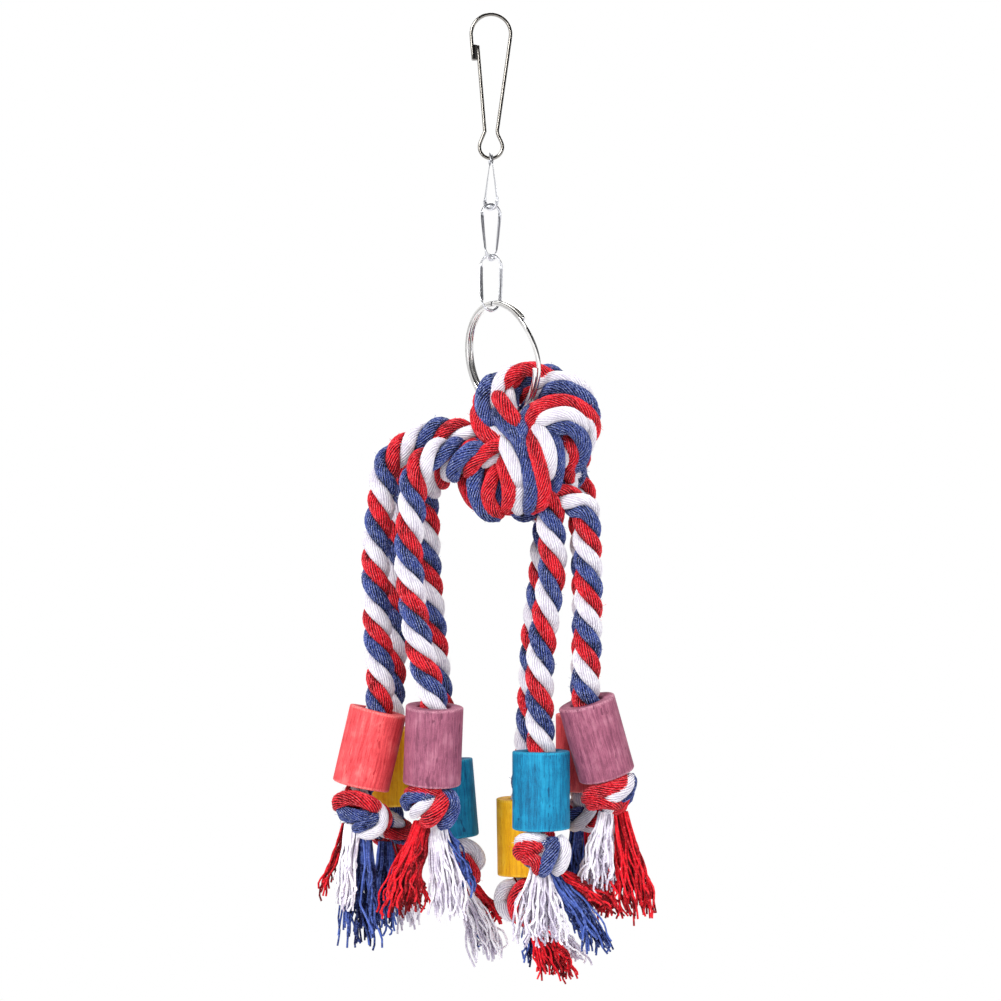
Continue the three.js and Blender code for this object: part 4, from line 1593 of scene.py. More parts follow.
@dataclass
class Chain:
    """Twisted wire links. Sizes are in millimetres and degrees."""

    tool: SweptWire
    hook_wire: float = 1.15
    wire: float = 1.2
    inner_length: float = 17.0
    inner_width: float = 5.4
    twist: float = 45.0
    headings: Sequence[float] = (90.0, 20.0, -10.0)
    clearance: float = 0.3
    bow_points: int = 16
    side_points: int = 24

    def link_line(self, top: float, heading: float) -> list[Vector]:
        """Gives a link's wire as a stadium twisted about its long axis.

        Args:
            top: The height of its upper end.
            heading: The direction of its upper end's width, in degrees.

        Returns:
            The closed line.
        """
        bow = (self.inner_width + self.wire) / 2
        pitch = self.inner_length + self.wire
        angles = [math.pi * i / self.bow_points for i in range(self.bow_points)]
        half = [(-bow * math.cos(a), bow - bow * math.sin(a)) for a in angles]
        half += [(bow, bow + (pitch - 2 * bow) * i / self.side_points) for i in range(self.side_points)]
        line: list[Vector] = []
        for across, down in half + [(-x, pitch - z) for x, z in half]:
            angle = math.radians(heading + self.twist * down / pitch)
            line.append(metres((across * math.cos(angle), across * math.sin(angle), top - down)))
        return line

    def build(self) -> tuple[bpy.types.Object, ...]:
        """Makes the links.

        Returns:
            The links from the top down.
        """
        foot = joint_of("link_1_swing")["pos_m"][2] / MM
        top = foot + (self.hook_wire + self.wire) / 2 + self.clearance
        links: list[bpy.types.Object] = []
        for number, heading in enumerate(self.headings, 1):
            line, size = self.link_line(top, heading), (self.wire, self.wire)
            links.append(self.tool.draw(
                f"link_wire_{number}", line, CHAIN_PLATE, (0.0, 0.0, 1.0), size, self.wire / 2, closed=True,
            ))
            top += self.clearance - self.inner_length
        return tuple(links)

    def dress(self, *links: bpy.types.Object) -> None:
        """Puts the links on their bodies.

        Args:
            *links: The links from the top down.
        """
        for index, made in enumerate(links, 1):
            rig.replaces(made, f"chain_link_{index}")
            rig.ride(made, f"link_{index}")
            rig.slot(made, "chain_wire")


@dataclass
class SplitRing:
    """The key ring, wound nearly twice. Sizes are in millimetres and degrees."""

    tool: SweptWire
    diameter: float = 38.0
    band: float = 1.6
    turn_thickness: float = 1.05
    turn_gap: float = 0.45
    winding: float = 665.0
    step: float = 50.0
    start: float = 110.0
    lean: float = 12.0
    corner: float = 0.38
    points: int = 260

    def build(self) -> tuple[bpy.types.Object, ...]:
        """Winds the ring about its packed axis.

        Returns:
            The ring, alone.
        """
        hinge = joint_of("knot_swing")
        axis = Vector(hinge["axis"]).normalized()
        tilt = math.radians(self.lean)
        up = Vector((-math.sin(tilt), 0.0, math.cos(tilt)))
        side = axis.cross(up)
        radius = (self.diameter - self.band) / 2
        pitch = self.turn_thickness + self.turn_gap
        line: list[Vector] = []
        for i in range(self.points + 1):
            angle = self.winding * i / self.points
            share = min(1.0, max(0.0, (angle - (self.winding - self.step) / 2) / self.step))
            rise = pitch * (share * share * (3 - 2 * share) - 0.5)
            turned = math.radians(angle + self.start)
            place = up * (radius * math.cos(turned)) + side * (radius * math.sin(turned)) + axis * rise
            line.append(Vector(hinge["pos_m"]) + place * MM)
        size = (self.turn_thickness, self.band)
        return (self.tool.draw("ring_wire", line, RING_PLATE, axis, size, self.corner),)

    def dress(self, ring: bpy.types.Object) -> None:
        """Puts the ring on its body.

        Args:
            ring: The ring.
        """
        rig.replaces(ring, "split_ring")
        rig.ride(ring, "ring")
        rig.slot(ring, "ring_wire")


@dataclass(frozen=True)
class Strand:
    """One strand that shows on the front of the big knot, in millimetres from the knot's middle."""

    cotton: Cotton
    girth: float
    points: Sequence[Point]


FRONT_STRANDS: tuple[Strand, ...] = (
    Strand(Cotton.BLUE, 1.08, (
        (-12.5, -8, 3.5), (-15.8, -9, 8), (-17.2, -9, 13), (-16.6, -8, 17), (-14.6, -6, 20.4),
        (-11.8, -3, 21.8),
    )),
    Strand(Cotton.WHITE, 1.0, (
        (-13.2, -7, 10.5), (-12.9, -8, 15), (-11.8, -8, 19.5), (-9.3, -7, 23.2), (-6, -4.5, 24.8),
    )),
    Strand(Cotton.RED, 1.0, (
        (-10.4, -6, 17.5), (-8.8, -8, 21), (-5, -8, 24), (0, -7, 24.4), (4.5, -6.5, 22.4), (9, -4.5, 19.8),
    )),
    Strand(Cotton.WHITE, 1.0, (
        (0.5, -4.5, 19.2), (3, -6.5, 20.6), (7, -8, 21.6), (12, -8, 20.6), (16, -7, 17.6), (18.5, -4, 13.5),
    )),
    Strand(Cotton.BLUE, 1.05, (
        (2.6, -7, 15.2), (5, -9.5, 17.6), (9, -10.5, 18.4), (14, -10.5, 16.6), (17.8, -9, 13.2),
        (19.3, -6, 9.5),
    )),
    Strand(Cotton.RED, 0.95, (
        (-1.8, -12, 3.5), (-1.6, -15, 7.5), (0.5, -16, 11), (4.5, -16, 13.4), (10, -15, 13.8),
        (15, -13, 11.8), (18.8, -10, 8), (19.4, -8, 4), (17.6, -5, 0),
    )),
    Strand(Cotton.WHITE, 1.0, (
        (0.5, -14.5, 6.5), (3, -16.8, 8), (7, -17.6, 9.4), (11, -17, 9.6), (14.2, -15.5, 7.5),
        (16, -13, 4.5),
    )),
    Strand(Cotton.WHITE, 1.0, (
        (14.5, -12.5, 9), (17, -11, 6.5), (17.8, -9.5, 2.8), (16.8, -8, -1), (14, -5.5, -4.5),
    )),
    Strand(Cotton.BLUE, 1.05, (
        (2.5, -14, 4), (6.5, -16.2, 5), (11.5, -16.6, 5), (14.8, -15, 2.2), (16, -12.5, -1.5),
        (15, -10.5, -5), (12.4, -9, -7.8), (10, -7, -10),
    )),
    Strand(Cotton.BLUE, 0.82, (
        (4.5, -14.5, 4.5), (6.8, -15.5, 1), (7.8, -15.5, -3.5), (7.8, -14.5, -8.5), (6.6, -13, -13.5),
        (5, -10, -17.5),
    )),
    Strand(Cotton.WHITE, 1.0, (
        (-0.5, -14, 6), (2, -16.8, 3.4), (4, -17.8, -0.5), (4.8, -17.2, -5), (4.2, -15.5, -9.5),
        (3, -13, -12),
    )),
    Strand(Cotton.RED, 1.0, (
        (-1.8, -14, 4), (-0.8, -16.8, 0), (0.9, -18, -5), (2.2, -18, -10.5), (2.9, -17, -15.5),
        (1.8, -14.5, -19.6), (-1, -11, -21.8),
    )),
    Strand(Cotton.BLUE, 1.05, (
        (-3.5, -13, -3), (-2.8, -16, -7.5), (-1.6, -16.8, -12), (-1.2, -16.2, -16.3), (-1.6, -14.5, -19.6),
        (-2.5, -11, -21.8),
    )),
    Strand(Cotton.WHITE, 1.05, (
        (-3.6, -12.5, -10), (-5, -13.5, -15), (-5.8, -12.5, -19.3), (-5.2, -10, -22.3),
    )),
    Strand(Cotton.BLUE, 1.0, (
        (-13.5, -9, 10.5), (-11.3, -12.5, 7.5), (-8.3, -15, 4.3), (-5.5, -16.2, 1.2), (-4, -16, -3),
        (-3, -13.5, -7),
    )),
    Strand(Cotton.BLUE, 0.86, (
        (-1.4, -8.5, 12), (-2.6, -11.5, 10), (-3.9, -14, 7), (-4.4, -15.5, 4), (-4.2, -15.5, 0),
    )),
    Strand(Cotton.RED, 1.1, (
        (-12.5, -8.5, 16.5), (-11.2, -12, 14), (-9, -14, 10.8), (-7, -14.5, 8), (-5.3, -13, 5),
    )),
    Strand(Cotton.WHITE, 0.75, ((-9, -4.5, 19), (-8.3, -7, 16.5), (-7.7, -8, 13), (-6.8, -9, 9.5))),
    Strand(Cotton.BLUE, 0.6, ((-6.9, -2.5, 18.5), (-6.6, -4.5, 15), (-6.4, -6, 11))),
    Strand(Cotton.WHITE, 0.78, ((-14.5, -9, 5), (-12.3, -11.5, 3.2), (-10, -12.5, 1.2))),
    Strand(Cotton.RED, 1.05, (
        (-18.3, -5.5, 13.5), (-18.8, -7.5, 9.5), (-17.9, -9.5, 5.4), (-15.5, -11.5, 2.6), (-12, -12.5, 0.8),
        (-9.5, -12, -0.5),
    )),
    Strand(Cotton.RED, 1.0, (
        (-9.5, -12.5, 0.5), (-13, -14, -0.8), (-17.2, -14.5, -3.6), (-20.4, -14, -7), (-22.2, -11.5, -10.5),
    )),
    Strand(Cotton.WHITE, 0.75, ((-10.5, -12, -3.5), (-14, -12.5, -5.2), (-17.5, -12, -7))),
    Strand(Cotton.WHITE, 0.95, (
        (-11, -13, 1.5), (-9.3, -15.8, -2), (-7.3, -16.8, -6.5), (-5.6, -16, -11), (-4.8, -13.5, -14),
    )),
    Strand(Cotton.RED, 0.96, (
        (-11, -12.5, -4), (-10, -14.8, -8.5), (-8.8, -15.2, -13), (-8.6, -14.3, -18), (-9.8, -12, -22),
    )),
    Strand(Cotton.RED, 0.96, (
        (-12.5, -12, -7), (-14.3, -13.8, -12), (-15.3, -13.8, -17), (-13.8, -12.5, -21),
        (-10.5, -10, -23.2),
    )),
    Strand(Cotton.BLUE, 1.05, (
        (-17, -9.5, -6.5), (-19.3, -11.5, -10), (-19.8, -12, -14.5), (-18.4, -11.5, -19.3),
        (-15.6, -10.5, -22.8), (-11.5, -8.5, -24),
    )),
    Strand(Cotton.RED, 1.0, (
        (-23.4, -6.5, -9.5), (-22.8, -7.5, -13.5), (-20.6, -7, -18), (-17, -5.5, -21.3),
    )),
    Strand(Cotton.RED, 0.95, (
        (9, -12, 2), (11.3, -13, -0.8), (12.4, -12, -4.2), (11, -10, -8), (11.5, -8, -12.5),
    )),
    Strand(Cotton.WHITE, 0.72, ((8.5, -12, 1), (9.7, -13, -3), (9.2, -12, -7.5))),
    Strand(Cotton.BLUE, 1.05, (
        (-17.5, -13, -0.5), (-21, -15, -2), (-24.5, -15, -5), (-26.6, -12.5, -9), (-26.2, -9, -11.5),
    )),
    Strand(Cotton.WHITE, 0.85, (
        (-25.5, -12, -3.5), (-28, -11.5, -6.5), (-29, -9.5, -9.5), (-27.8, -7, -11.5),
    )),
    Strand(Cotton.BLUE, 1.0, ((-13, -9.5, -9), (-12, -10.5, -14), (-11.5, -10, -19), (-11, -8, -22))),
)


@dataclass
class MainKnot:
    """The rope's passes through the big knot. Points are in millimetres from the knot's middle."""

    maker: RopeMaker
    across: float = 10.6
    below: float = 28.5
    share: float = 0.9
    step: float = 1.06
    phase: float = 1.7
    passes: Mapping[str, Sequence[Point]] = field(default_factory=lambda: {
        "ring_loop": (
            (-15, -4, 3), (-17, -3, 12), (-12, -2.5, 19.5), (-3, -2, 23), (6, -1.5, 21.8),
            (13.6, -2, 16.5), (17.6, -2.5, 8.5), (15, -2, 0), (10, -1, -7),
        ),
        "front_loop": (
            (-4, -6, 6), (2, -9.5, 10.5), (9.5, -10.5, 9), (13, -9.5, 3), (11.5, -7.5, -5), (8, -4, -10),
        ),
        "front_strap": ((-1, -7, 8), (2, -11, 2), (2.5, -12, -6), (1, -10, -14), (-2, -5, -18)),
        "left_strap": ((-11, -5, 14), (-9, -9, 8.5), (-6, -11, 1), (-6, -10, -7), (-4, -5, -15)),
        "left_loop": ((-10, -6, 1), (-15.5, -7, -6), (-16, -6.5, -13), (-12, -5.5, -18.5), (-4, -4, -20)),
        "back_loop": (
            (13, 1, 1), (14, 7, 6), (9, 11, 15), (-1, 13, 19),
            (-11, 12, 14), (-16, 10, 4), (-13, 7, -6), (-8, 1, -9),
        ),
        "back_strap": ((6, 1, 14), (5, 9, 14), (4, 15, 4), (2, 15, -7), (1, 8, -18), (1, 1, -16)),
        "back_cross": (
            (-9, -1, 10), (-12, 5, 11), (-9, 13, 6), (1, 16, 1), (10, 12, -5), (14, 5, -9), (10, -1, -7),
        ),
        "back_low": (
            (-7, 1, 0), (-11, 7, -2), (-15, 10, -11), (-9, 10, -19), (1, 8, -22), (10, 4, -17), (9, -2, -12),
        ),
        "right_low": ((14, -2, 3), (14.4, 2, -5), (11, 2, -13), (4, 0, -19)),
        "heart": ((-7, 0, 9), (2, 2, 5), (4, 0, -4), (-5, 1, -8), (-3, 0, -15), (5, 0, -13)),
        "heart_cross": ((10, 2, 7), (8, -3, 0), (-2, 4, 2), (-11, 0, -1), (-9, -1, -11)),
    })

    def middle(self) -> Vector:
        """Gives the knot's middle.

        Returns:
            The point in metres.
        """
        return Vector(joint_of("knot_swing")["pos_m"]) + metres((self.across, 0.0, -self.below))

    def line(self, points: Iterable[Point]) -> list[Vector]:
        """Samples a line through points about the knot's middle.

        Args:
            points: The points in millimetres.

        Returns:
            The line in metres.
        """
        return Route(self.middle() + metres(p) for p in points).line(self.step * MM)

    def build(self) -> tuple[bpy.types.Object, ...]:
        """Lays the passes, and the strands that show on the knot's front.

        Returns:
            The passes and the front strands.
        """
        lines = [self.line(points) for points in self.passes.values()]
        phases = [self.phase * i for i in range(len(lines))]
        knot = self.maker.rope("knot_passes", lines, self.share, phases)
        fronts = [self.line(strand.points) for strand in FRONT_STRANDS]
        return knot, self.maker.strands("knot_front", fronts, FRONT_STRANDS)

    def dress(self, knot: bpy.types.Object, front: bpy.types.Object) -> None:
        """Puts the knot on its body.

        Args:
            knot: The passes.
            front: The front strands.
        """
        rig.replaces(knot, "main_knot")
        for made in (knot, front):
            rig.ride(made, "knot")
            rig.slot(made, "cotton_rope")


@dataclass(frozen=True)
class Bundle:
    """One colour of a tassel's yarns: where it hangs to, from the tassel's neck, in millimetres."""

    cotton: Cotton
    count: int
    hem: Point
    half: tuple[float, float]


@dataclass(frozen=True)
class Tuck:
    """One strand that shows on a stopper knot's front, in millimetres from the bead's lower face."""

    cotton: Cotton
    girth: float
    lift: float
    points: Sequence[tuple[float, float]]


@dataclass(frozen=True)
class RopeEnd:
    """One rope end, in millimetres from the main knot's middle and in degrees."""

    name: str
    dye: Dye
    depth: float
    shoulder: Sequence[Point]
    swing: tuple[float, float]
    hang: Sequence[tuple[float, float]]
    bead: tuple[float, float]
    lean: float
    bundles: Sequence[Bundle]
    red_at: float
    lay: float = 1.0
    reverse: bool = False
    pitch: float = 0.0
    tucks: Sequence[Tuck] = ()


ENDS: tuple[RopeEnd, ...] = (
    RopeEnd(
        "left_red", Dye.RED, depth=-7.5,
        shoulder=((-12, -5, 0), (-20, -5.5, 2.2), (-28, -6, 4.4), (-35, -6.6, 3.2), (-41, -7.2, 0.2)),
        swing=(-49.8, -16.6), hang=((-51.8, -31.4), (-52, -47.9), (-51.3, -64.4), (-50.5, -77.6)),
        bead=(-51.2, -87), lean=-13.2,
        bundles=(
            Bundle(Cotton.RED, 10, (-9.4, 0, -23), (1.4, 1.5)),
            Bundle(Cotton.WHITE, 40, (-3, -4.5, -27), (3, 2.5)),
            Bundle(Cotton.BLUE, 66, (0.2, 0, -37.5), (7.8, 3)),
        ),
        red_at=-22.8, lay=0.96,
        tucks=(
            Tuck(Cotton.BLUE, 0.85, 0.0, ((-1.7, -13.6), (0.7, -12.2), (3.8, -10.4), (5.9, -8.5))),
            Tuck(Cotton.WHITE, 0.75, 0.4, ((5.4, -5), (7.4, -8.5), (7, -12.6), (3.8, -15), (-0.7, -15.2))),
            Tuck(Cotton.RED, 0.6, -0.4, ((7, -6), (9.1, -9.6), (8.4, -13.6))),
            Tuck(Cotton.BLUE, 0.8, 0.4, ((-7.4, -6.6), (-4, -8), (0.3, -9), (3.4, -8.6))),
            Tuck(Cotton.RED, 1.0, 1.0, ((-7.6, -7), (-6.3, -4), (-1.8, -3.2), (2.7, -4.6), (6.8, -7.6))),
        ),
    ),
    RopeEnd(
        "left_purple", Dye.PURPLE, depth=-15.5,
        shoulder=(
            (-9, -5, -3), (-17, -6.5, -2.6), (-24, -9, -2.2), (-30.5, -12.5, -2.4), (-35.5, -14.8, -5.2),
        ),
        swing=(-39.9, -20.5), hang=((-41.1, -34.7), (-39.8, -51.2), (-37.2, -67.7), (-34, -79)),
        bead=(-32.7, -85.2), lean=-2.2,
        bundles=(
            Bundle(Cotton.RED, 66, (-9.2, -2.5, -29), (7, 3)),
            Bundle(Cotton.WHITE, 66, (4.5, -1, -29.5), (6.4, 4)),
            Bundle(Cotton.BLUE, 18, (12, 0.5, -23), (2, 2)),
        ),
        red_at=-30.4, pitch=6.0,
        tucks=(
            Tuck(Cotton.RED, 0.75, 0.0, ((-8.1, -2.6), (-4.7, -1.7), (0.7, -1.9), (3.5, -2.6))),
            Tuck(Cotton.BLUE, 0.85, 0.4, ((-7.6, -8), (-8.2, -5), (-5.6, -3.6), (-1.3, -3.6), (1.5, -4.6))),
            Tuck(Cotton.WHITE, 0.85, 0.5, ((-6, -10), (-4.2, -7.8), (-1, -5.6), (2, -4.2))),
            Tuck(Cotton.BLUE, 0.95, 0.4, ((3.2, -2.2), (6.4, -3.9), (7.1, -7.7), (5.4, -11.4), (2.7, -13.5))),
            Tuck(Cotton.RED, 1.1, 1.0, ((4, -3), (2.9, -6.4), (0.5, -10), (-2.6, -12.5))),
        ),
    ),
    RopeEnd(
        "left_yellow", Dye.YELLOW, depth=13,
        shoulder=((-10, 6, 0), (-21, 9, 1.5), (-31, 12, 0.5), (-38.5, 13, -4.5)),
        swing=(-44.9, -20.5), hang=((-45.9, -38), (-46.5, -57.8), (-47.6, -80)),
        bead=(-48.2, -94.5), lean=0,
        bundles=(
            Bundle(Cotton.BLUE, 46, (-1, -1, -28), (5, 4)),
            Bundle(Cotton.WHITE, 40, (5, 1, -27), (4.5, 4)),
            Bundle(Cotton.RED, 30, (8, -2, -20), (4, 3)),
        ),
        red_at=-30.0,
    ),
    RopeEnd(
        "left_blue", Dye.BLUE, depth=8,
        shoulder=((-8, -6, -2.5), (-16, -8.5, -4), (-23, -7.5, -5.8), (-28.5, -3, -8), (-33, 3, -12)),
        swing=(-36, -26), hang=((-35.7, -38), (-34.4, -54), (-32.6, -74), (-30.6, -94)),
        bead=(-29.9, -104.7), lean=4.8,
        bundles=(
            Bundle(Cotton.WHITE, 66, (11, -1.5, -27), (6, 4)),
            Bundle(Cotton.RED, 30, (12.5, 0, -15), (3, 3)),
            Bundle(Cotton.BLUE, 6, (6, 2, -25), (2, 2)),
        ),
        red_at=-21.0, reverse=True,
        tucks=(
            Tuck(Cotton.BLUE, 0.9, 0.0, ((-6.4, -3), (-3, -3.4), (0.6, -6), (2.4, -10))),
            Tuck(Cotton.RED, 1.0, 0.5, ((0.6, -3.6), (4, -6.4), (6.8, -10.2), (8.4, -14.4))),
            Tuck(Cotton.WHITE, 1.0, 0.7, ((0, -1.8), (4.4, -2), (7.8, -4), (9.2, -7.4), (8, -11))),
        ),
    ),
    RopeEnd(
        "right_blue", Dye.BLUE, depth=-10.5,
        shoulder=((3, -4, -8), (4.2, -8, -14)),
        swing=(5.2, -27.1), hang=((5.8, -38), (4, -52.8), (2, -67.7), (1.5, -85.4)),
        bead=(2, -100.1), lean=0,
        bundles=(
            Bundle(Cotton.WHITE, 70, (-0.5, -2.5, -24), (10, 4)),
            Bundle(Cotton.BLUE, 64, (17.5, -1, -26.5), (5.5, 4)),
            Bundle(Cotton.RED, 50, (22, 2, -15), (5.5, 4)),
        ),
        red_at=-38.0, lay=1.05,
        tucks=(
            Tuck(Cotton.WHITE, 0.8, 0.0, ((-7.6, -5.2), (-6.4, -2.9), (-3, -2.2), (1, -2.6))),
            Tuck(Cotton.RED, 0.95, 0.3, ((-5.6, -9.6), (-3.6, -8.6), (-1.4, -10.4), (-1.3, -13.6))),
            Tuck(Cotton.RED, 1.0, 0.7, ((-6.8, -9), (-6.9, -6), (-3.8, -4.8), (0.3, -6.2))),
            Tuck(Cotton.WHITE, 0.95, 0.4, ((5.4, -2), (7.4, -5.7), (6.9, -10.1), (4.3, -14.1))),
            Tuck(Cotton.BLUE, 1.0, 1.0, ((4.4, -2.6), (3.3, -6.7), (1.6, -10.8), (0.1, -14.1))),
        ),
    ),
    RopeEnd(
        "right_yellow", Dye.YELLOW, depth=9,
        shoulder=((0, 6, -13), (2.4, 8.5, -20)),
        swing=(3.5, -33), hang=((2.4, -46), (0.4, -61.1), (-0.8, -80.9), (-2.2, -101)),
        bead=(-3.2, -117.4), lean=1,
        bundles=(
            Bundle(Cotton.RED, 70, (9, -1, -21), (7, 4)),
            Bundle(Cotton.WHITE, 36, (15, 1, -16), (4.5, 4)),
            Bundle(Cotton.BLUE, 10, (1, 1, -18), (3.5, 3.5)),
        ),
        red_at=-33.0, lay=1.03,
        tucks=(
            Tuck(Cotton.BLUE, 0.95, 0.4, ((0.4, -1.8), (3.6, -2.6), (6.4, -5.6), (6.8, -10))),
            Tuck(Cotton.WHITE, 0.95, 0.3, ((-3.6, -2), (-7.2, -3.8), (-8.4, -8), (-6.4, -12), (-3, -14))),
            Tuck(Cotton.RED, 1.1, 1.0, ((2.2, -1.8), (-1.4, -3.6), (-3.6, -8), (-2.8, -12.2), (0, -15.4))),
        ),
    ),
    RopeEnd(
        "right_purple", Dye.PURPLE, depth=-11,
        shoulder=((1, -4, -11), (7.5, -8.5, -16.3), (13.2, -10.6, -19.4)),
        swing=(16.9, -31), hang=((17.4, -40), (17.4, -52.8), (17, -69.3), (16.6, -77)),
        bead=(16.8, -83.9), lean=15.6,
        bundles=(
            Bundle(Cotton.WHITE, 60, (-4, -1.5, -24), (7, 4)),
            Bundle(Cotton.RED, 66, (7, 0, -33), (6, 4)),
            Bundle(Cotton.BLUE, 12, (0.5, 2.5, -25), (4, 3)),
        ),
        red_at=-48.5, lay=0.96, reverse=True, pitch=8.0,
        tucks=(
            Tuck(Cotton.RED, 0.9, 0.0, ((-6, -10), (-3, -8.4), (1.5, -8.6), (4, -9.6))),
            Tuck(Cotton.BLUE, 0.5, 0.0, ((3.9, -8.4), (7.1, -5.8), (8.6, -2), (8, 0.4))),
            Tuck(Cotton.WHITE, 0.95, 0.5, ((-2.4, -7.6), (2, -6.4), (5.8, -3.6), (7.6, 0))),
            Tuck(Cotton.RED, 0.95, 1.0, ((-7.4, -8), (-5.4, -5.6), (-0.6, -4.1), (3.9, -2.4), (6, -0.6))),
        ),
    ),
    RopeEnd(
        "right_red", Dye.RED, depth=11,
        shoulder=((7, 7, -4), (11, 10, -10)),
        swing=(15.8, -22.4), hang=((16.8, -38), (17.2, -57.8), (16.8, -76)),
        bead=(16.5, -89.6), lean=0,
        bundles=(
            Bundle(Cotton.RED, 46, (4.5, 0, -28), (5, 4)),
            Bundle(Cotton.BLUE, 40, (-2.5, 0, -28), (4.5, 4)),
            Bundle(Cotton.WHITE, 36, (1, 2, -30), (5, 3)),
        ),
        red_at=-30.0, reverse=True,
    ),
)


@dataclass
class RopeLeg:
    """A rope end with its bead, stopper knot and tassel. Sizes are in millimetres and degrees."""

    end: RopeEnd
    index: int
    middle: Vector
    maker: RopeMaker
    yarn: YarnBundle
    line: list[Vector] = field(init=False)
    rope_diameter: float = 9.6
    blend_share: float = 1.2
    path_step: int = 4
    clearance: float = 0.3
    bead_length: float = 25.5
    bead_radius: float = 9.4
    bead_sides: int = 72
    bore_radius: float = 5.4
    bore_edge: float = 0.4
    edge: float = 0.5
    edge_bends: Sequence[float] = (0.0, 30.0, 60.0, 90.0)
    flats: float = 0.05
    ripples: float = 0.04
    slant: float = 0.12
    grain_apart: Point = (71.0, 37.0, 53.0)
    stopper_rope: float = 8.6
    stopper_radius: float = 5.0
    stopper_tilt: float = 28.0
    stopper_reach: float = 150.0
    stopper_heading: float = 45.0
    stopper_end: float = 0.7
    strap_tilt: float = 58.0
    strap_reach: float = 60.0
    strap_heading: float = 70.0
    wrap_points: int = 36
    wrap_tuck: float = 60.0
    wrap_sink: float = 0.8
    wrap_curve: float = 1.4
    wrap_phases: Sequence[float] = (0.9, 1.3)
    tuck_depth: float = 6.9
    tuck_room: float = 1.7
    tuck_sink: float = 2.2
    tuck_width: float = 1.5
    tuck_least: float = 0.1
    neck: float = 2.52
    neck_apart: float = 1.6
    neck_rise: float = 1.5
    yarn_radius: float = 0.35
    yarn_wave: float = 8.5
    yarn_share: float = 1.3
    seeds: int = 10

    def __post_init__(self) -> None:
        """Routes the rope."""
        self.line = self.route()

    def place(self, x: float, z: float) -> Vector:
        """Gives a point at the rope end's own depth.

        Args:
            x: Across, from the knot's middle.
            z: Up, from the knot's middle.

        Returns:
            The point in metres.
        """
        return self.middle + metres((x, self.end.depth, z))

    def axis(self) -> Vector:
        """Gives the way down the bead's bore.

        Returns:
            A unit vector.
        """
        lean, pitch = math.radians(self.end.lean), math.radians(self.end.pitch)
        level = math.cos(pitch)
        return Vector((math.sin(lean) * level, math.sin(pitch), -math.cos(lean) * level))

    def stopper_height(self) -> float:
        """Gives the stopper knot's height.

        Returns:
            Millimetres.
        """
        return self.stopper_rope + 2 * self.stopper_radius * math.sin(math.radians(self.stopper_tilt))

    def bead_foot(self) -> Vector:
        """Gives the middle of the bead's lower face.

        Returns:
            The point in metres.
        """
        return self.place(*self.end.bead) + self.axis() * (self.bead_length * MM)

    def frame(self) -> Matrix:
        """Gives the frame on the bead's lower face, with Z up the bore.

        Returns:
            The matrix.
        """
        lean = Matrix.Rotation(-math.radians(self.end.lean), 4, "Y")
        pitch = Matrix.Rotation(math.radians(self.end.pitch), 4, "X")
        return Matrix.Translation(self.bead_foot()) @ lean @ pitch

    def route(self) -> list[Vector]:
        """Gives the rope's line from inside the main knot to the middle of the stopper knot.

        Returns:
            Points in metres.
        """
        points = [self.middle + metres(p) for p in self.end.shoulder]
        swing, start = self.leaving()
        points.append(swing - start * (self.rope_diameter * MM))
        points.append(swing)
        points.extend(self.place(*p) for p in self.end.hang)
        top = self.place(*self.end.bead)
        for share in (0.0, 0.5, 1.0):
            points.append(top + self.axis() * (self.bead_length * MM * share))
        points.append(self.bead_foot() + self.axis() * (self.stopper_height() * self.stopper_end * MM))
        return Route(points).line(self.maker.step)

    def leaving(self) -> tuple[Vector, Vector]:
        """Gives where the rope end swings from, and its way down there.

        Returns:
            The point in metres and a unit vector.
        """
        swing = self.place(*self.end.swing)
        return swing, (self.place(*self.end.hang[0]) - swing).normalized()

    def build(self) -> dict[str, bpy.types.Object]:
        """Makes the rope, the bead, the stopper knot and the tassel.

        Returns:
            The pieces by what they are.
        """
        made = {"rope": self.rope(), "bead": self.bead(), "stopper": self.stopper(), "tassel": self.tassel()}
        if self.end.tucks:
            made["tucks"] = self.tucks()
        return made

    def rope(self) -> bpy.types.Object:
        """Lays the rope so that its red strand faces front at the height that the end states.

        Returns:
            The rope.
        """
        height = self.middle.z + self.end.red_at * MM
        past_shoulder = len(self.line) // 4
        at = next(i for i, p in enumerate(self.line) if i > past_shoulder and p.z < height)
        phase = TURN * length_of(self.line[: at + 1]) / (self.maker.lay_length * self.end.lay)
        red, *others = LAY_ORDER
        order = (red, *reversed(others)) if self.end.reverse else LAY_ORDER
        name = f"rope_{self.end.name}"
        return self.maker.rope(name, [self.line], 1.0, [phase], order, self.end.lay, (0.0, -1.0, 0.0))

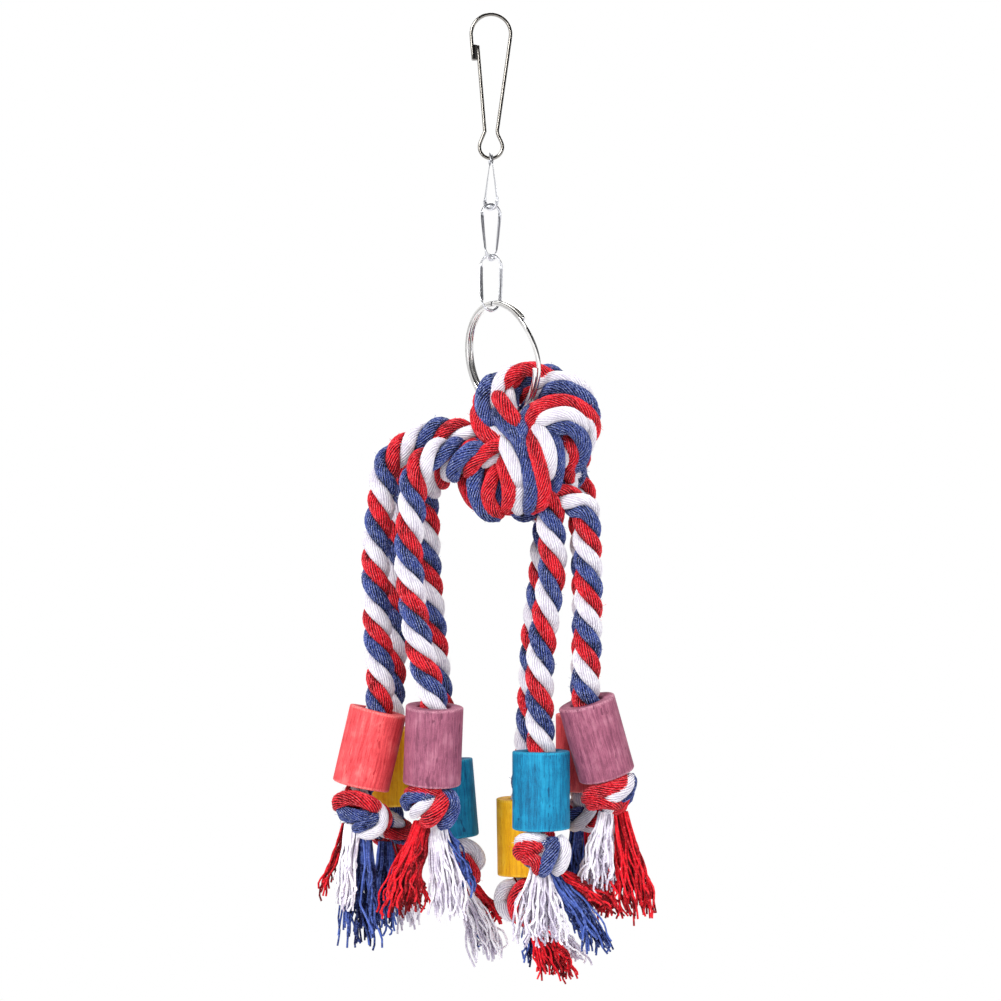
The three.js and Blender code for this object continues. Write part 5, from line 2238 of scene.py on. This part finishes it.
    def bead(self) -> bpy.types.Object:
        """Turns the bead: a dowel with broken edges and a bore.

        Returns:
            The bead.
        """
        half, outer, bore, edge = self.bead_length / 2, self.bead_radius, self.bore_radius, self.edge
        bends = [math.radians(degrees) for degrees in self.edge_bends]
        broken = [(outer - edge * (1 - math.cos(a)), half - edge * (1 - math.sin(a))) for a in bends]
        side = [(outer, half - edge * 2), *broken, (outer - edge * 2, half)]
        mouth = [(bore + self.bore_edge, half), (bore, half - self.bore_edge)]
        profile = [(x, -z) for x, z in reversed(mouth)]
        profile += [(x, -z) for x, z in reversed(side)]
        profile += [(outer, -half / 2), (outer, 0.0), (outer, half / 2)]
        profile += side + mouth
        steps = self.bead_sides
        mesh = bpy.data.meshes.new(f"bead_{self.end.name}_wood")
        shape = bmesh.new()
        data = shape.verts.layers.float_vector.new(GRAIN_DATA)
        rim = shape.verts.layers.float.new(RIM_DATA)
        frame_here = self.frame() @ Matrix.Translation(metres((0, 0, half)))
        rings: list[list[bmesh.types.BMVert]] = []
        for i in range(steps):
            angle = TURN * i / steps
            ring: list[bmesh.types.BMVert] = []
            for radius, height in profile:
                out = (radius, abs(height)) not in mouth
                dent = self.flats * math.sin(3 * angle + self.index)
                dent += self.ripples * math.sin(7 * angle + 2 * self.index + height)
                shift = self.slant * math.sin(2 * angle + 3 * self.index) * (height / half)
                r = radius + (dent if out else 0.0)
                local = metres((r * math.cos(angle), r * math.sin(angle), height + (shift if out else 0.0)))
                vertex = shape.verts.new(frame_here @ local)
                vertex[data] = local + metres(self.grain_apart) * self.index
                vertex[rim] = float((radius, abs(height)) in broken)
                ring.append(vertex)
            rings.append(ring)
        for i in range(steps):
            for j in range(len(profile)):
                k = (j + 1) % len(profile)
                here, after = rings[i], rings[(i + 1) % steps]
                shape.faces.new((here[j], after[j], after[k], here[k]))
        bmesh.ops.recalc_face_normals(shape, faces=shape.faces)
        shape.to_mesh(mesh)
        shape.free()
        mesh.polygons.foreach_set("use_smooth", [True] * len(mesh.polygons))
        mesh.materials.append(WOODS[self.end.dye].material())
        made = bpy.data.objects.new(mesh.name, mesh)
        bpy.context.scene.collection.objects.link(made)
        return made

    def wrap(self, tilt: float, heading: float, reach: float) -> list[Vector]:
        """Gives a tilted stretch of rope round the stopper knot's middle, with both ends tucked in.

        Args:
            tilt: Its lean from level.
            heading: Where its middle points.
            reach: How far it goes to each side before it tucks in.

        Returns:
            Points in metres.
        """
        below = metres((0, 0, -self.clearance - self.stopper_height() / 2))
        headed = Matrix.Rotation(math.radians(heading), 4, "Z")
        tilted = Matrix.Rotation(math.radians(tilt), 4, "X")
        turned = self.frame() @ Matrix.Translation(below) @ headed @ tilted
        wide = self.stopper_radius - (self.tuck_room if self.end.tucks else 0.0)
        points: list[Vector] = []
        for i in range(self.wrap_points + 1):
            degrees = (reach + self.wrap_tuck) * (2 * i / self.wrap_points - 1)
            inward = max(0.0, (abs(degrees) - reach) / self.wrap_tuck)
            radius = wide * (1 - self.wrap_sink * inward**self.wrap_curve)
            angle = math.radians(degrees)
            points.append(turned @ metres((radius * math.cos(angle), radius * math.sin(angle), 0)))
        return Route(points).line(self.maker.step)

    def stopper(self) -> bpy.types.Object:
        """Ties the stopper knot: a wrap and a pass that crosses it.

        Returns:
            The knot.
        """
        heading = self.stopper_heading * self.index
        lines = [
            self.wrap(self.stopper_tilt, heading, self.stopper_reach),
            self.wrap(self.strap_tilt, heading + self.strap_heading, self.strap_reach),
        ]
        share = self.stopper_rope / self.rope_diameter
        phases = [phase * self.index for phase in self.wrap_phases]
        return self.maker.rope(f"stopper_{self.end.name}", lines, share, phases)

    def tucks(self) -> bpy.types.Object:
        """Lays the strands that show on the stopper knot's front, with their ends tucked in.

        Returns:
            The strands.
        """
        lines: list[list[Vector]] = []
        for tuck in self.end.tucks:
            ends = (tuck.points[0], tuck.points[-1])
            points: list[Vector] = []
            for x, z in tuck.points:
                across = x / (self.tuck_width * self.tuck_depth)
                round_off = math.sqrt(max(self.tuck_least, 1 - across**2))
                sink = self.tuck_sink if (x, z) in ends else 0.0
                out = (self.tuck_depth + tuck.lift) * round_off - sink
                points.append(self.bead_foot() + metres((x, -out, z)))
            lines.append(Route(points).line(self.maker.step))
        return self.maker.strands(f"stopper_{self.end.name}_front", lines, self.end.tucks)

    def tassel(self) -> bpy.types.Object:
        """Frays the rope's end into three bundles of yarn.

        Returns:
            The tassel.
        """
        made = wire_frame(f"tassel_{self.end.name}_yarn", [])
        drop = self.clearance + self.stopper_height() - self.neck_rise
        fall = (self.axis() + Vector((0, 0, -1))).normalized()
        neck = self.bead_foot() + fall * (drop * MM)
        for number, bundle in enumerate(self.end.bundles):
            shift = Vector((bundle.hem[0], bundle.hem[1], 0.0)).normalized() * self.neck_apart
            self.yarn.attach(made, {
                "Count": round(bundle.count * self.yarn_share), "Seed": self.seeds * self.index + number,
                "Neck": neck + metres(shift), "Neck Size": metres((self.neck, self.neck, 0)),
                "Hem": metres(bundle.hem), "Hem Size": metres((*bundle.half, 0)),
                "Wave": self.yarn_wave * MM, "Yarn Radius": self.yarn_radius * MM,
                "Material": YARNS[bundle.cotton].material(),
            })
        return settle(made)

    def dress(self, made: Mapping[str, bpy.types.Object]) -> None:
        """Args:
            made: The pieces by what they are.
        """
        name = self.end.name
        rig.replaces(made["rope"], f"rope_leg_{name}")
        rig.replaces(made["bead"], f"bead_{name}")
        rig.replaces(made["stopper"], f"stopper_knot_{name}")
        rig.replaces(made["tassel"], f"tassel_{name}")
        swing, start = self.leaving()
        reach = start * (self.rope_diameter * MM * self.blend_share)
        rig.blend(made["rope"], "knot", f"leg_{name}", start=swing - reach, end=swing + reach)
        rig.ride(made["bead"], f"bead_{name}")
        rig.slot(made["bead"], f"dyed_wood_{self.end.dye.value}")
        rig.slot(made["rope"], "cotton_rope")
        carried = [made[part] for part in ("stopper", "tucks", "tassel") if part in made]
        for part in carried:
            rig.ride(part, f"leg_{name}")
            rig.slot(part, "cotton_yarn" if part is made["tassel"] else "cotton_rope")
        length = length_of(self.line)
        log.info("%s: rope %.0f mm", name, length / MM)
        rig.cord(
            made["rope"], exit=self.line[0], length=length, diameter=self.rope_diameter * MM, far_end="knot",
            stiffness="limp", lay="hanging", path=self.line[:: self.path_step] + [self.line[-1]],
            with_pieces=[made["bead"], *carried],
        )


def report(pieces: Iterable[bpy.types.Object]) -> None:
    """Logs each finished piece.

    Args:
        pieces: The pieces.
    """
    for piece in pieces:
        piece.data.calc_loop_triangles()
        log.info("%s: %d triangles", piece.name, len(piece.data.loop_triangles))


def main() -> None:
    """Builds and dresses the toy, piece by piece."""
    logging.basicConfig(level=logging.INFO, format="%(message)s")
    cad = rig.bounds()
    studio = Studio()
    studio.build()
    studio.dress()
    maker = RopeMaker()
    knot = MainKnot(maker)
    yarn = YarnBundle()
    for index, end in enumerate(ENDS):
        leg = RopeLeg(end, index, knot.middle(), maker, yarn)
        made = leg.build()
        leg.dress(made)
        report(made.values())
    wire = SweptWire()
    for assembly in (knot, SnapHook(wire), Chain(wire), SplitRing(wire)):
        pieces = assembly.build()
        assembly.dress(*pieces)
        report(pieces)
    finished = list(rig.pieces())
    log.info("%d pieces, %d triangles", len(finished), sum(len(o.data.loop_triangles) for o in finished))
    sizes = {"cad": [list(corner) for corner in cad], "visual": [list(corner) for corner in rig.bounds()]}
    with open("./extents.json", "w", encoding="utf-8") as out:
        json.dump(sizes, out)


if __name__ == "__main__":
    main()
